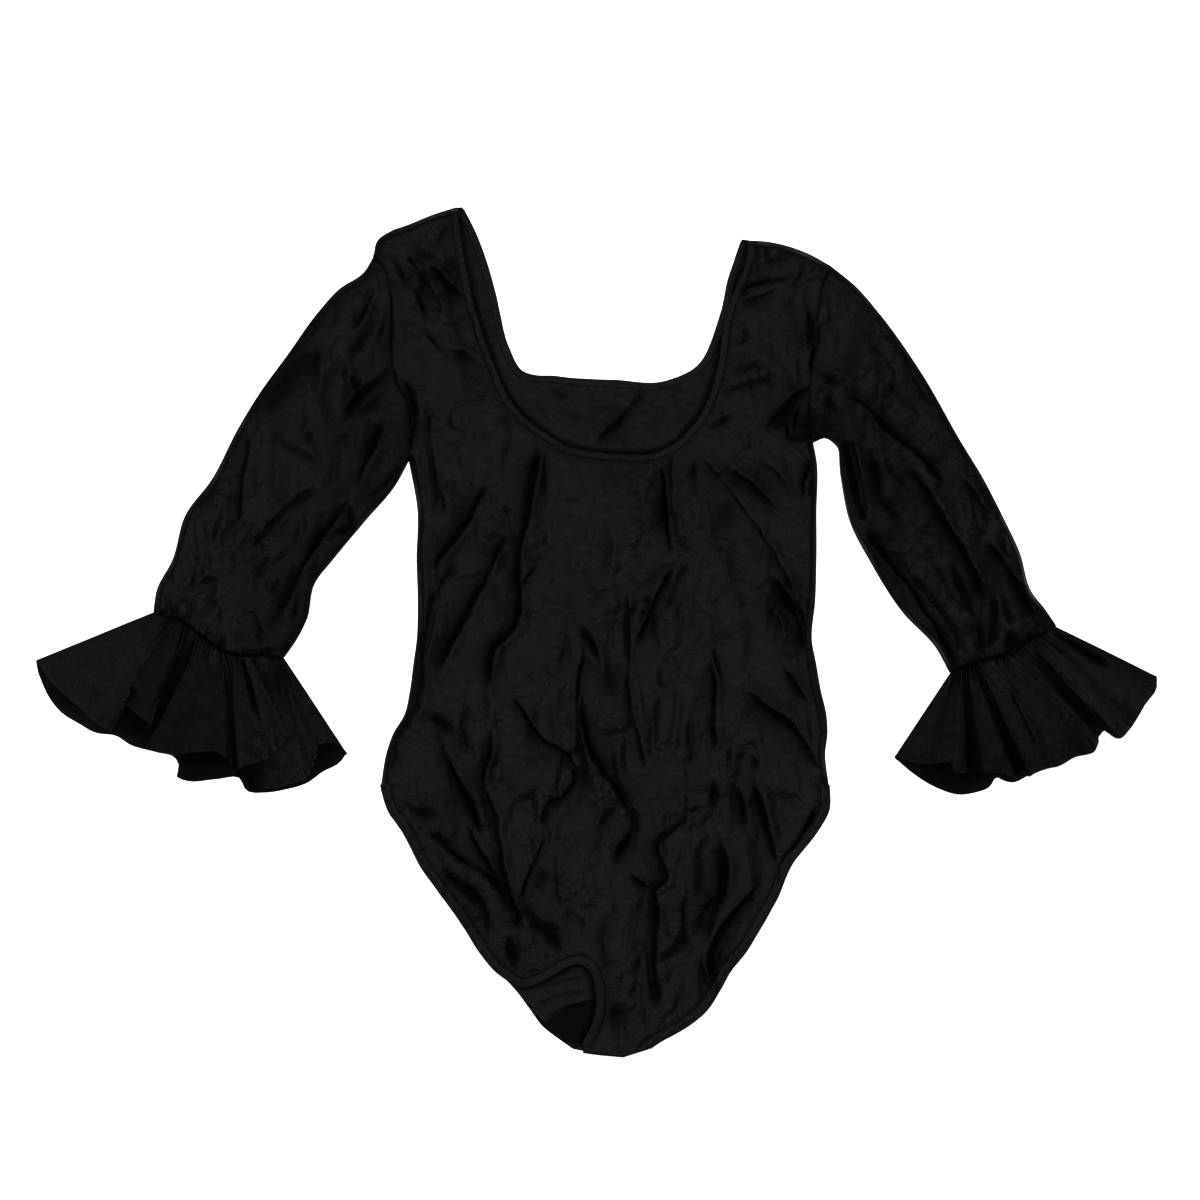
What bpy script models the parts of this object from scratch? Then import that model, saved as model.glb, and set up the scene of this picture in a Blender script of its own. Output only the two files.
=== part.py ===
"""Dance leotard with ruffled three-quarter sleeves, laid flat on its back with the front up.

Each piece that is cut and sewn is one closed solid. Right and left are the wearer's, so the
right sleeve lies at -X. The tables are in millimetres: across from the middle of the laid-out
garment, and up from the end of the crotch.
"""

import bpy
import numpy as np
from mathutils import Vector
from mathutils.geometry import delaunay_2d_cdt

# Sizes in millimetres
MM = 0.001
CROTCH_TO_MIDDLE = 383.0   # from the end of the crotch up to the middle of the laid-out garment
WALL = 1.2                 # one layer of cloth
BAND_WALL = 1.0            # the elastic bands and the gusset lining
LAYER_GAP = 0.3            # air between one piece and what lies on it
SEAM_GAP = 0.45            # air between two pieces along a seam
PUFF = 2.0                 # how far the loose front stands off the back between its folds
PUFF_EDGE = 25.0           # how far in from the side seams it reaches that height
HIP_PEEK = 2.5             # how far the back shows past the front at the hips
WAIST, LEG_TOP = 420.0, 245.0
NECK_BAND = 6.0
LEG_BAND = 8.0
LEG_EDGE_LIFT = 4.0        # how high the loose right leg edge stands
LEG_EDGE_REACH = 14.0
SLEEVE_LOFT = 4.0          # how far the sleeve's upper layer bulges
CUFF_LOFT = 7.0
EDGE_LIFT = 1.0            # the turned edges of the sleeves and ruffles
EDGE_INSET = 2.2
UPPER_MIDDLE = 1.5 * WALL + LAYER_GAP   # middle of an upper layer that lies on a flat one
RUFFLE_RISE = 0.8          # power of the curve by which a ruffle fold rises to its hem

# Spacing of the points in millimetres, and the counts along the tubes
POINT_GAP = 6.5            # no two points of the front lie closer
FRONT_GRID, BACK_GRID, EDGE_STEP, FOLD_STEP = 15.0, 40.0, 15.0, 12.0
ARM_COLUMNS, SLEEVE_ROWS = 12, 20
RUFFLE_ROWS, RUFFLE_UNDER_COLUMNS, POINTS_PER_FOLD = 6, 9, 2

CLOTH = ("black knit", (0.0075, 0.0072, 0.0074), 0.55)
BAND_CLOTH = ("black band", (0.0090, 0.0086, 0.0088), 0.50)
LINING_CLOTH = ("dark lining", (0.0180, 0.0190, 0.0240), 0.70)

# Outline of the body: height up, right edge and left edge, a row for each section
SIDE_SECTIONS = (
    (537, -169, 198), (490, -161, 198), (447, -162, 198), (411, -161, 197), (375, -162, 194),
    (353, -165, 198), (330, -168, 202), (308, -173, 207), (291, -183, 208), (274, -189, 206),
    (245, -194, 209))
LEG_SECTIONS = (
    (245, -194, 209), (221, -186, 208), (202, -173, 197), (173, -158, 175), (141, -135, 161),
    (117, -119, 147), (95, -105, 134), (74, -86, 118), (59, -72, 110), (40, -58, 97),
    (29, -50, 83), (16, -34, 60), (7, -21, 46))
# Knots of the other edges of the body: across, up
RIGHT_SHOULDER = ((-126, 765), (-148, 758), (-170, 749), (-186, 743), (-197, 735), (-201, 720))
LEFT_SHOULDER = ((137, 735), (153, 734), (172, 730), (191, 723), (211, 712))
RIGHT_ARMHOLE = ((-201, 720), (-191, 711), (-186, 690), (-185, 634), (-180, 606), (-170, 590),
                 (-167, 569), (-169, 537))
LEFT_ARMHOLE = ((211, 712), (202, 688), (198, 668), (196, 638), (193, 614), (191, 591),
                (191, 569), (195, 553))
BACK_NECK = ((-121, 765), (-105, 732), (-92, 690), (-80, 641), (-68, 618), (-35, 612),
             (14, 609), (66, 609), (90, 621), (110, 662), (119, 700), (131, 736))
FRONT_NECK = ((-126, 765), (-119, 717), (-99, 640), (-69, 580), (-46, 561), (-23, 548),
              (1, 544), (30, 542), (54, 544), (69, 551), (89, 570), (108, 614), (117, 669),
              (136, 722), (137, 735))
RAISED_LEG_EDGE = ((-105, 95), (-86, 74), (-67, 64), (-46, 70), (-29, 80), (-15, 84), (-6, 78),
                   (-1, 60), (0, 44), (-4, 30), (-12, 14))
CROTCH = ((-12, 4), (3, 2), (24, 0), (46, 7))
GUSSET_LINING = ((-47, 31), (-29, 42), (-8, 51), (4, 50), (5, 30), (-3, 12), (-14, 9), (-33, 19))

# Knots of the sleeves: across, up, from the armhole to the cuff, and across the cuff
RIGHT_SLEEVE_OUTER = ((-201, 720), (-209, 707), (-232, 691), (-251, 670), (-279, 631),
                      (-303, 598), (-322, 567), (-347, 519), (-370, 488), (-382, 447),
                      (-396, 420), (-399, 401))
RIGHT_SLEEVE_INNER = ((-169, 537), (-181, 515), (-208, 483), (-238, 447), (-254, 426),
                      (-261, 394), (-270, 376), (-281, 360))
RIGHT_CUFF = ((-399, 401), (-378, 395), (-359, 382), (-335, 366), (-324, 363), (-303, 362),
              (-281, 360))
LEFT_SLEEVE_OUTER = ((211, 712), (234, 693), (254, 670), (293, 615), (328, 554), (348, 521),
                     (365, 488), (381, 454), (392, 418), (403, 404), (414, 388))
LEFT_SLEEVE_INNER = ((195, 553), (206, 557), (216, 550), (220, 523), (229, 480), (246, 447),
                     (276, 400), (306, 368), (318, 346))
LEFT_CUFF = ((414, 388), (385, 373), (371, 364), (342, 356), (318, 346))

# Hem of the ruffles' lower layers: across, up
RIGHT_RUFFLE_HEM = ((-507, 358), (-492, 322), (-466, 300), (-432, 289), (-395, 274), (-379, 262),
                    (-371, 248), (-320, 248), (-298, 238), (-279, 240), (-248, 254), (-225, 275))
LEFT_RUFFLE_HEM = ((505, 343), (493, 315), (481, 298), (468, 287), (444, 273), (403, 257),
                   (369, 245), (346, 238), (329, 234), (314, 237), (286, 251), (266, 269))
# Folds of the ruffles' upper layers: share of the cuff, hem across, hem up, height at the hem
RIGHT_RUFFLE_FOLDS = (
    (0.00, -507, 358, 1.0), (0.10, -483, 328, 4.0), (0.22, -454, 306, 6.0),
    (0.30, -434, 294, 5.0), (0.33, -424, 304, 1.5), (0.37, -408, 303, 6.0),
    (0.41, -397, 297, 0.5), (0.45, -405, 284, 8.0), (0.52, -384, 274, 6.5),
    (0.60, -357, 274, 7.0), (0.66, -337, 273, 6.0), (0.70, -324, 262, 0.5),
    (0.74, -310, 265, 5.0), (0.80, -277, 290, 8.0), (0.84, -300, 255, 1.5),
    (0.92, -258, 256, 5.0), (1.00, -225, 275, 1.0))
LEFT_RUFFLE_FOLDS = (
    (0.00, 505, 343, 1.0), (0.06, 499, 327, 5.0), (0.14, 481, 300, 8.0), (0.24, 458, 292, 7.0),
    (0.28, 451, 297, 0.5), (0.32, 447, 289, 3.0), (0.36, 437, 284, 2.0), (0.40, 443, 302, 8.0),
    (0.48, 423, 274, 6.5), (0.56, 401, 261, 5.5), (0.61, 387, 256, 0.5), (0.65, 372, 257, 7.0),
    (0.71, 354, 256, 6.0), (0.76, 338, 255, 0.5), (0.80, 323, 259, 5.0), (0.86, 311, 264, 5.0),
    (0.90, 298, 265, 2.0), (0.94, 280, 270, 3.5), (1.00, 266, 269, 1.0))

# Creases of the body: start, middle and end (across, up), width, height, lean. The trough runs
# along the line with a ridge a width to each side; a lean above 0 raises the ridge on the left.
BODY_FOLDS = (
    ((-51, 553), (-69, 465), (-73, 393), 9, 4.5, -0.2),
    ((-76, 386), (-92, 366), (-94, 330), 7, 3.0, 0.0),
    ((-71, 564), (-108, 495), (-147, 438), 9, 4.0, 0.3),
    ((-77, 475), (-108, 418), (-141, 348), 9, 4.5, 0.3),
    ((61, 542), (61, 492), (72, 451), 7, 4.5, 0.5),
    ((84, 451), (59, 411), (34, 364), 7, 3.5, 0.0),
    ((84, 558), (131, 495), (174, 411), 7, 2.5, 0.0),
    ((154, 447), (179, 402), (189, 363), 10, 6.0, -0.5),
    ((136, 518), (152, 503), (165, 489), 6, 3.0, 0.0),
    ((194, 608), (174, 587), (151, 564), 8, 4.0, 0.0),
    ((-149, 587), (-144, 537), (-135, 489), 7, 2.5, 0.0),
    ((-150, 375), (-164, 314), (-180, 258), 7, 3.0, 0.0),
    ((-9, 364), (-16, 308), (-9, 251), 8, 4.0, 0.4),
    ((-13, 305), (8, 272), (30, 233), 7, 3.5, 0.0),
    ((28, 418), (28, 348), (41, 262), 8, 2.5, 0.0),
    ((103, 369), (108, 321), (106, 272), 7, 3.5, 0.0),
    ((143, 330), (172, 302), (198, 262), 9, 5.0, 0.0),
    ((-137, 283), (-117, 236), (-101, 198), 9, 6.0, 0.0),
    ((-101, 263), (-85, 186), (-67, 114), 8, 5.0, 0.0),
    ((-150, 206), (-100, 168), (-69, 122), 8, 5.0, 0.0),
    ((-42, 238), (-46, 204), (-62, 150), 8, 3.0, 0.0),
    ((-62, 141), (-45, 116), (-33, 96), 8, 6.0, 0.0),
    ((82, 224), (61, 186), (54, 141), 8, 4.5, 0.0),
    ((54, 141), (53, 96), (57, 51), 7, 3.5, 0.0),
    ((141, 252), (151, 213), (163, 176), 7, 4.5, 0.0),
    ((110, 194), (112, 168), (99, 126), 8, 5.5, 0.0),
    ((154, 152), (125, 123), (104, 60), 8, 5.5, 0.0),
    ((-166, 719), (-138, 696), (-114, 674), 7, 3.5, 0.0),
    ((-157, 647), (-127, 634), (-97, 616), 7, 3.5, 0.0),
    ((134, 694), (165, 706), (194, 714), 7, 2.5, 0.0))
SLEEVE_FOLDS = (
    ((-200, 698), (-210, 677), (-220, 650), 7, 3.0, 0.0),
    ((-187, 616), (-211, 596), (-235, 565), 9, 5.0, 0.0),
    ((-189, 583), (-207, 528), (-255, 450), 10, 6.0, 0.0),
    ((-251, 627), (-285, 603), (-309, 562), 12, 4.0, 0.0),
    ((-315, 561), (-321, 510), (-322, 461), 10, 4.5, 0.0),
    ((-249, 518), (-282, 488), (-315, 458), 10, 4.0, 0.0),
    ((195, 615), (246, 588), (314, 516), 10, 5.0, 0.0),
    ((234, 566), (255, 524), (277, 475), 9, 4.0, 0.0),
    ((255, 542), (300, 490), (350, 406), 10, 5.0, 0.0),
    ((344, 472), (368, 438), (389, 410), 10, 5.0, 0.0),
    ((222, 547), (231, 513), (243, 482), 8, 4.0, 0.0),
    ((238, 477), (269, 438), (303, 396), 9, 5.0, 0.0))

# Form of a crease: how sharp its notch is, and the trough's depth and breadth, in its height
# and width
NOTCH, TROUGH_DEPTH, TROUGH_SPREAD = 0.2, 0.3, 0.5


def clear_scene():
    for thing in list(bpy.data.objects):
        bpy.data.objects.remove(thing, do_unlink=True)


def curve_at(knots, places, at):
    """Points of a smooth curve through knots that stand at given places along it."""
    slope = np.gradient(knots, places, axis=0)
    leg = np.clip(np.searchsorted(places, at, side="right") - 1, 0, len(knots) - 2)
    span = (places[leg + 1] - places[leg])[:, None]
    s = (at - places[leg])[:, None] / span
    return ((2 * s**3 - 3 * s**2 + 1) * knots[leg] + (s**3 - 2 * s**2 + s) * span * slope[leg]
            + (3 * s**2 - 2 * s**3) * knots[leg + 1] + (s**3 - s**2) * span * slope[leg + 1])


def chord_places(knots):
    """How far along each knot stands, measured straight from knot to knot."""
    return np.append(0.0, np.cumsum(np.linalg.norm(np.diff(knots, axis=0), axis=1)))


def through(knots, shares):
    """Points on a smooth curve through the knots, at shares 0 to 1 of its length."""
    knots = np.asarray(knots, float)
    places = chord_places(knots)
    return curve_at(knots, places, np.asarray(shares, float) * places[-1])


def evenly(knots, step):
    """The same curve with points about a step apart."""
    length = chord_places(np.asarray(knots, float))[-1]
    return through(knots, np.linspace(0.0, 1.0, max(2, round(length / step)) + 1))


def nearest(points, line):
    """Distance of each point to the line, signed + on its left, and the share along it."""
    points = np.asarray(points, float)
    start, leg = line[:-1], np.diff(line, axis=0)
    length = np.linalg.norm(leg, axis=1)
    to = points[:, None, :] - start[None, :, :]
    share = np.clip((to * leg).sum(axis=2) / length**2, 0.0, 1.0)
    gap = np.linalg.norm(to - share[:, :, None] * leg, axis=2)
    best = gap.argmin(axis=1)
    row = np.arange(len(points))
    turn = leg[best, 0] * to[row, best, 1] - leg[best, 1] * to[row, best, 0]
    along = (np.append(0.0, np.cumsum(length))[best] + share[row, best] * length[best])
    return gap[row, best] * np.where(turn >= 0, 1.0, -1.0), along / length.sum()


def inside(points, loop):
    """Which points lie inside a closed outline."""
    x, y = points[:, :1], points[:, 1:]
    ax, ay = loop[:, 0], loop[:, 1]
    bx, by = np.roll(ax, -1), np.roll(ay, -1)
    spans = (ay > y) != (by > y)
    with np.errstate(divide="ignore", invalid="ignore"):
        cut = ax + (y - ay) * (bx - ax) / (by - ay)
    return ((spans & (x < cut)).sum(axis=1) % 2) == 1


def smooth(value):
    value = np.clip(value, 0.0, 1.0)
    return value * value * (3.0 - 2.0 * value)


def fold_line(fold, count=8):
    return through(fold[:3], np.linspace(0.0, 1.0, count + 1))


def crease_profile(s, lean):
    """Height across a crease, s widths from its line: a notch between two soft rolls."""
    away = np.sqrt(s**2 + NOTCH**2) - NOTCH
    rolls = away * np.exp(0.5 - s**2 / 2) * (1 + lean * np.tanh(s / NOTCH))
    return rolls - TROUGH_DEPTH * np.exp(-(s / TROUGH_SPREAD)**2)


def relief(points, folds):
    """Height that the creases add at each point."""
    total = np.zeros(len(points))
    for fold in folds:
        width, height, lean = fold[3:]
        side, share = nearest(points, fold_line(fold))
        ends = smooth(share / 0.25) * smooth((1.0 - share) / 0.25)
        total += height * ends * crease_profile(side / width, lean)
    return total


def side_knots(sections, column, peek=0.0):
    """The right or left edge of the body through its sections, from the top down."""
    sign = 1.0 if column == 1 else -1.0
    knots = []
    for row in sections:
        share = np.clip((WAIST - row[0]) / (WAIST - LEG_TOP), 0.0, 1.0)
        knots.append((row[column] + sign * peek * np.sin(np.pi * share), row[0]))
    return knots


def join(*lines):
    """One closed outline from edges that follow each other, without their shared ends."""
    return np.concatenate([line[:-1] for line in lines])


def body_edges(step, peek):
    """The edges that the back and the front share, from the neck to the leg openings."""
    return {
        "right shoulder": evenly(RIGHT_SHOULDER, step),
        "right armhole": through(RIGHT_ARMHOLE, np.linspace(0.0, 1.0, ARM_COLUMNS + 1)),
        "right side": evenly([RIGHT_ARMHOLE[-1]] + side_knots(SIDE_SECTIONS, 1, peek)[1:], step),
        "left side": evenly([LEFT_ARMHOLE[-1]] + side_knots(SIDE_SECTIONS, 2, peek), step)[::-1],
        "left armhole": through(LEFT_ARMHOLE, np.linspace(0.0, 1.0, ARM_COLUMNS + 1))[::-1],
        "left shoulder": evenly(LEFT_SHOULDER, step)[::-1]}


def inner_line(edge, width):
    """A line inside an edge, which has the cloth on its left."""
    along = np.gradient(edge, axis=0)
    along /= np.linalg.norm(along, axis=1)[:, None]
    return edge + width * np.stack([-along[:, 1], along[:, 0]], axis=1)


def hex_grid(loop, spacing):
    low, high = loop.min(axis=0), loop.max(axis=0)
    rows = np.arange(low[1], high[1], spacing * 0.866)
    return np.array([(x, y) for number, y in enumerate(rows)
                     for x in np.arange(low[0] + spacing * 0.5 * (number % 2), high[0], spacing)])


def thinned(points, fixed, gap):
    """Points in order, without those closer than a gap to one already there."""
    kept = list(fixed)
    for point in points:
        if np.linalg.norm(np.array(kept) - point, axis=1).min() >= gap:
            kept.append(point)
    return np.array(kept[len(fixed):])


def triangulated(loop, seams, points, clearance):
    """Triangles that fill an outline, with seam lines and inner points among their corners."""
    points = points[inside(points, loop)]
    for line in [np.vstack([loop, loop[:1]])] + seams:
        points = points[np.abs(nearest(points, line)[0]) > clearance]
    corners = np.vstack([loop] + seams + [points])
    edges = []
    first = len(loop)
    for line in seams:
        edges += [(first + k, first + k + 1) for k in range(len(line) - 1)]
        first += len(line)
    made = delaunay_2d_cdt([Vector(point) for point in corners], edges,
                           [list(range(len(loop)))], 1, 1e-5)
    plan = np.array([tuple(point) for point in made[0]])
    faces = []
    for a, b, c in made[2]:
        (ax, ay), (bx, by), (cx, cy) = plan[a], plan[b], plan[c]
        area = (bx - ax) * (cy - ay) - (by - ay) * (cx - ax)
        faces.append((a, b, c) if area > 0 else (a, c, b))
    return plan, faces


def material(cloth):
    name, colour, roughness = cloth
    made = bpy.data.materials.get(name) or bpy.data.materials.new(name)
    made.use_nodes = True
    shader = made.node_tree.nodes["Principled BSDF"]
    shader.inputs["Base Color"].default_value = (*colour, 1.0)
    shader.inputs["Roughness"].default_value = roughness
    shader.inputs["Metallic"].default_value = 0.0
    return made


def solid(name, points, faces, cloth):
    """One closed solid as an object, its points given in the tables' millimetres."""
    placed = (np.asarray(points) - (0.0, CROTCH_TO_MIDDLE, 0.0)) * MM
    mesh = bpy.data.meshes.new(name)
    mesh.from_pydata([tuple(point) for point in placed], [], faces)
    mesh.shade_smooth()
    mesh.materials.append(material(cloth))
    made = bpy.data.objects.new(name, mesh)
    bpy.context.scene.collection.objects.link(made)
    return made


def sheet(name, plan, faces, underside, wall, cloth):
    """A wall of cloth over some triangles of a plan, from its underside up."""
    used = sorted({corner for face in faces for corner in face})
    place = {corner: number for number, corner in enumerate(used)}
    faces = [tuple(place[corner] for corner in face) for face in faces]
    plan, underside, count = plan[used], underside[used], len(used)
    points = np.vstack([np.column_stack([plan, underside]),
                        np.column_stack([plan, underside + wall])])
    sides = {(face[k], face[k - 2]) for face in faces for k in range(3)}
    rim = [edge for edge in sorted(sides) if edge[::-1] not in sides]
    walls = [(a, b, b + count, a + count) for a, b in rim]
    shell = ([face[::-1] for face in faces] + walls
             + [tuple(corner + count for corner in face) for face in faces])
    return solid(name, points, shell, cloth)


def tube(name, middle, lying, cloth):
    """A flattened tube of cloth from the rings of its wall's middle. The columns of the
    lying layer rest flat."""
    along = np.gradient(middle, axis=0)
    around = np.roll(middle, -1, axis=1) - np.roll(middle, 1, axis=1)
    out = np.cross(around, along)
    out /= np.linalg.norm(out, axis=2)[:, :, None]
    if out[:, :lying[0], 2].mean() < 0:
        out = -out
    outer = middle + out * (WALL / 2)
    inner = middle - out * (WALL / 2)
    outer[:, lying] = middle[:, lying] * (1, 1, 0)
    inner[:, lying] = middle[:, lying] * (1, 1, 0) + (0, 0, WALL)
    rows, columns = middle.shape[:2]
    count = rows * columns
    faces = []
    for k in range(columns):
        right = (k + 1) % columns
        for j in range(rows - 1):
            a, b, c, d = (j * columns + k, j * columns + right,
                          (j + 1) * columns + right, (j + 1) * columns + k)
            faces += [(a, b, c, d), (d + count, c + count, b + count, a + count)]
        last = (rows - 1) * columns
        faces += [(k + count, right + count, right, k),
                  (last + k, last + right, last + right + count, last + k + count)]
    points = np.vstack([outer.reshape(-1, 3), inner.reshape(-1, 3)])
    turn = np.cross(points[1] - points[0], points[columns + 1] - points[0])
    if np.dot(turn, points[0] - points[count]) < 0:
        faces = [face[::-1] for face in faces]
    return solid(name, points, faces, cloth)


def front_lift(points, plan_edges):
    """How far the front's underside stands off its lowest place."""
    sides = np.min([np.abs(nearest(points, plan_edges[name])[0])
                    for name in ("right side", "left side", "right shoulder", "left shoulder")],
                   axis=0)
    height = PUFF + relief(points, BODY_FOLDS + SLEEVE_FOLDS)
    height = np.maximum(height, 0.0) * smooth(sides / PUFF_EDGE)
    raised = evenly(RAISED_LEG_EDGE, EDGE_STEP / 2)
    edge = LEG_EDGE_LIFT * np.exp(-(nearest(points, raised)[0] / LEG_EDGE_REACH)**2)
    return np.maximum(height, edge)


def build_back():
    edges = body_edges(EDGE_STEP, 0.0)
    right_leg = evenly(side_knots(LEG_SECTIONS, 1), EDGE_STEP)
    left_leg = evenly(side_knots(LEG_SECTIONS, 2), EDGE_STEP)[::-1]
    neck = evenly(BACK_NECK, EDGE_STEP)[::-1]
    crotch = np.array([right_leg[-1], (3, 2), (24, 0), left_leg[0]])
    top = edges["right shoulder"].copy()
    top[0] = BACK_NECK[0]
    left_top = edges["left shoulder"].copy()
    left_top[-1] = BACK_NECK[-1]
    loop = join(top, edges["right armhole"], edges["right side"], right_leg, crotch, left_leg,
                edges["left side"], edges["left armhole"], left_top, neck)
    band = inner_line(neck, NECK_BAND)[1:-1]
    plan, faces = triangulated(loop, [band], hex_grid(loop, BACK_GRID), BACK_GRID * 0.3)
    flat = np.zeros(len(plan))
    sheet("back_body", plan, faces, flat, WALL, CLOTH)
    banded = faces_near(plan, faces, neck[1:-1], NECK_BAND)
    sheet("back_neck_band", plan, banded, flat + WALL + LAYER_GAP, BAND_WALL, BAND_CLOTH)


def faces_near(plan, faces, edge, width):
    """Triangles that lie between an edge and its seam line."""
    middles = np.array([plan[list(face)].mean(axis=0) for face in faces])
    away, share = nearest(middles, edge)
    near = (np.abs(away) < width) & (share > 0.0) & (share < 1.0)
    return [face for face, chosen in zip(faces, near) if chosen]


def build_front():
    edges = body_edges(EDGE_STEP, HIP_PEEK)
    upper_leg = [knot for knot in side_knots(LEG_SECTIONS, 1) if knot[1] > RAISED_LEG_EDGE[0][1]]
    right_leg = evenly(upper_leg + list(RAISED_LEG_EDGE), EDGE_STEP * 0.8)
    left_leg = evenly(side_knots(LEG_SECTIONS, 2), EDGE_STEP)[::-1]
    neck = evenly(FRONT_NECK, EDGE_STEP * 0.8)[::-1]
    crotch = np.array([right_leg[-1]] + list(CROTCH[:-1]) + [left_leg[0]])
    loop = join(edges["right shoulder"], edges["right armhole"], edges["right side"], right_leg,
                crotch, left_leg, edges["left side"], edges["left armhole"],
                edges["left shoulder"], neck)
    bands = (("front_neck_band", neck[1:-1], NECK_BAND),
             ("right_leg_band", right_leg[:-1], LEG_BAND),
             ("left_leg_band", left_leg[1:], LEG_BAND))
    seams = [inner_line(edge, width) for _, edge, width in bands]
    points = []
    for fold in BODY_FOLDS:
        line = evenly(fold[:3], FOLD_STEP)
        for side in (0.0, 1.0, -1.0):
            points += list(inner_line(line, side * fold[3]))
    points += list(hex_grid(loop, FRONT_GRID))
    points = thinned(points, np.vstack([loop] + seams), POINT_GAP)
    plan, faces = triangulated(loop, seams, points, POINT_GAP / 2)
    under = WALL + LAYER_GAP + front_lift(plan, edges)
    sheet("front_body", plan, faces, under, WALL, CLOTH)
    for name, edge, width in bands:
        banded = faces_near(plan, faces, edge, width)
        sheet(name, plan, banded, under + WALL + LAYER_GAP, BAND_WALL, BAND_CLOTH)


def build_gusset_lining():
    loop = np.array(GUSSET_LINING, float)[::-1]
    plan, faces = triangulated(loop, [], hex_grid(loop, EDGE_STEP), EDGE_STEP * 0.4)
    under = np.full(len(plan), WALL + LAYER_GAP)
    sheet("gusset_lining", plan, faces, under, BAND_WALL, LINING_CLOTH)


def shifted(line, toward, distance):
    """A line moved squarely off itself, to the side on which a place lies."""
    moved = inner_line(line, distance)
    other = inner_line(line, -distance)
    nearer = np.linalg.norm(moved - toward, axis=1).sum() < np.linalg.norm(other - toward,
                                                                         axis=1).sum()
    return moved if nearer else other


def cuff_lift(share):
    """Height of the sleeve's upper layer along the cuff."""
    return EDGE_LIFT + (CUFF_LOFT - EDGE_LIFT) * (1.0 - np.abs(2.0 * share - 1.0)**2.5) * 0.5


def across_shares(width):
    """Shares of a ring's width for its upper layer, its turned edges and its lying layer."""
    edge = EDGE_INSET / width
    turn = WALL / 2 / width
    upper = np.clip(np.linspace(0.0, 1.0, ARM_COLUMNS + 1), edge, 1.0 - edge)
    return upper, np.array([1.0 - turn]), upper[::-1], np.array([turn])


def build_sleeve(name, outer_knots, inner_knots, armhole_knots, cuff_knots):
    down = np.linspace(0.0, 1.0, SLEEVE_ROWS + 1)
    outer, inner = through(outer_knots, down), through(inner_knots, down)
    every = np.linspace(0.0, 1.0, ARM_COLUMNS + 1)
    top = shifted(through(armhole_knots, every), outer[-1], SEAM_GAP)
    end = through(cuff_knots, every)
    outer[0], inner[0], outer[-1], inner[-1] = top[0], top[-1], end[0], end[-1]

    def plan_at(row, share):
        t = down[row]
        along = (1 - share)[:, None] * outer[row] + share[:, None] * inner[row]
        start = np.stack([np.interp(share, every, top[:, k]) for k in (0, 1)], axis=1)
        stop = np.stack([np.interp(share, every, end[:, k]) for k in (0, 1)], axis=1)
        s = share[:, None]
        corners = ((1 - t) * ((1 - s) * top[0] + s * top[-1]) + t * ((1 - s) * end[0] + s * end[-1]))
        return along + (1 - t) * start + t * stop - corners

    rings = []
    for row, t in enumerate(down):
        shares = across_shares(np.linalg.norm(outer[row] - inner[row]))
        upper = plan_at(row, shares[0])
        crown = 1.0 - np.abs(2.0 * shares[0] - 1.0)**2.5
        loft = PUFF + (SLEEVE_LOFT - PUFF) * smooth(t / 0.15)
        cuff = smooth((t - 0.7) / 0.3)
        lift = (1 - cuff) * (EDGE_LIFT + (loft - EDGE_LIFT) * crown) + cuff * cuff_lift(shares[0])
        lift = lift + relief(upper, SLEEVE_FOLDS + BODY_FOLDS) * smooth(crown * 2.0)
        height = UPPER_MIDDLE + np.maximum(lift, 0.2)
        ring = [np.column_stack([upper, height])]
        for share, level in ((shares[1], height[-1]), (shares[2], 0.0), (shares[3], height[0])):
            spot = plan_at(row, share)
            z = WALL / 2 if level == 0.0 else (WALL / 2 + level) / 2
            ring.append(np.column_stack([spot, np.full(len(spot), z)]))
        rings.append(np.vstack(ring))
    lying = list(range(ARM_COLUMNS + 2, 2 * ARM_COLUMNS + 3))
    tube(name, np.array(rings), lying, CLOTH)


def build_ruffle(name, cuff_knots, hem_knots, folds, toward):
    """A ruffle as rings from the cuff to the hem, through the folds of its upper layer."""
    every = np.linspace(0.0, 1.0, 4 * ARM_COLUMNS + 1)
    seam = shifted(through(cuff_knots, every), toward, SEAM_GAP)
    hem = through(hem_knots, every)
    share, across, up, rise = np.array(folds).T
    legs = chord_places(np.column_stack([across, up, rise]))
    finer = np.concatenate([np.linspace(a, b, POINTS_PER_FOLD, endpoint=False)
                            for a, b in zip(legs, legs[1:])] + [legs[-1:]])
    rings = []
    for r in np.linspace(0.0, 1.0, RUFFLE_ROWS + 1):
        def between(at, far):
            near = np.stack([np.interp(at, every, seam[:, k]) for k in (0, 1)], axis=1)
            return near + r * (far - near)
        edge = EDGE_INSET / np.linalg.norm(between(np.array([0.0]), hem[:1])
                                           - between(np.array([1.0]), hem[-1:]))
        plan = between(np.clip(share, edge, 1.0 - edge), np.column_stack([across, up]))
        lift = cuff_lift(share) * (1.0 - r) + rise * r**RUFFLE_RISE
        knots = np.column_stack([plan, UPPER_MIDDLE + lift])
        ends = knots[0, :2] - knots[1, :2], knots[-1, :2] - knots[-2, :2]
        upper = curve_at(knots, legs, finer)
        low_shares = np.linspace(1.0 - edge, edge, RUFFLE_UNDER_COLUMNS + 1)
        far = np.stack([np.interp(low_shares, every, hem[:, k]) for k in (0, 1)], axis=1)
        low = np.column_stack([between(low_shares, far), np.full(len(low_shares), WALL / 2)])
        turn_a = turned(upper[-1], low[0], ends[1])
        turn_b = turned(upper[0], low[-1], ends[0])
        rings.append(np.vstack([upper, [turn_a], low, [turn_b]]))
    first = len(finer) + 1
    tube(name, np.array(rings), list(range(first, first + RUFFLE_UNDER_COLUMNS + 1)), CLOTH)


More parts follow.
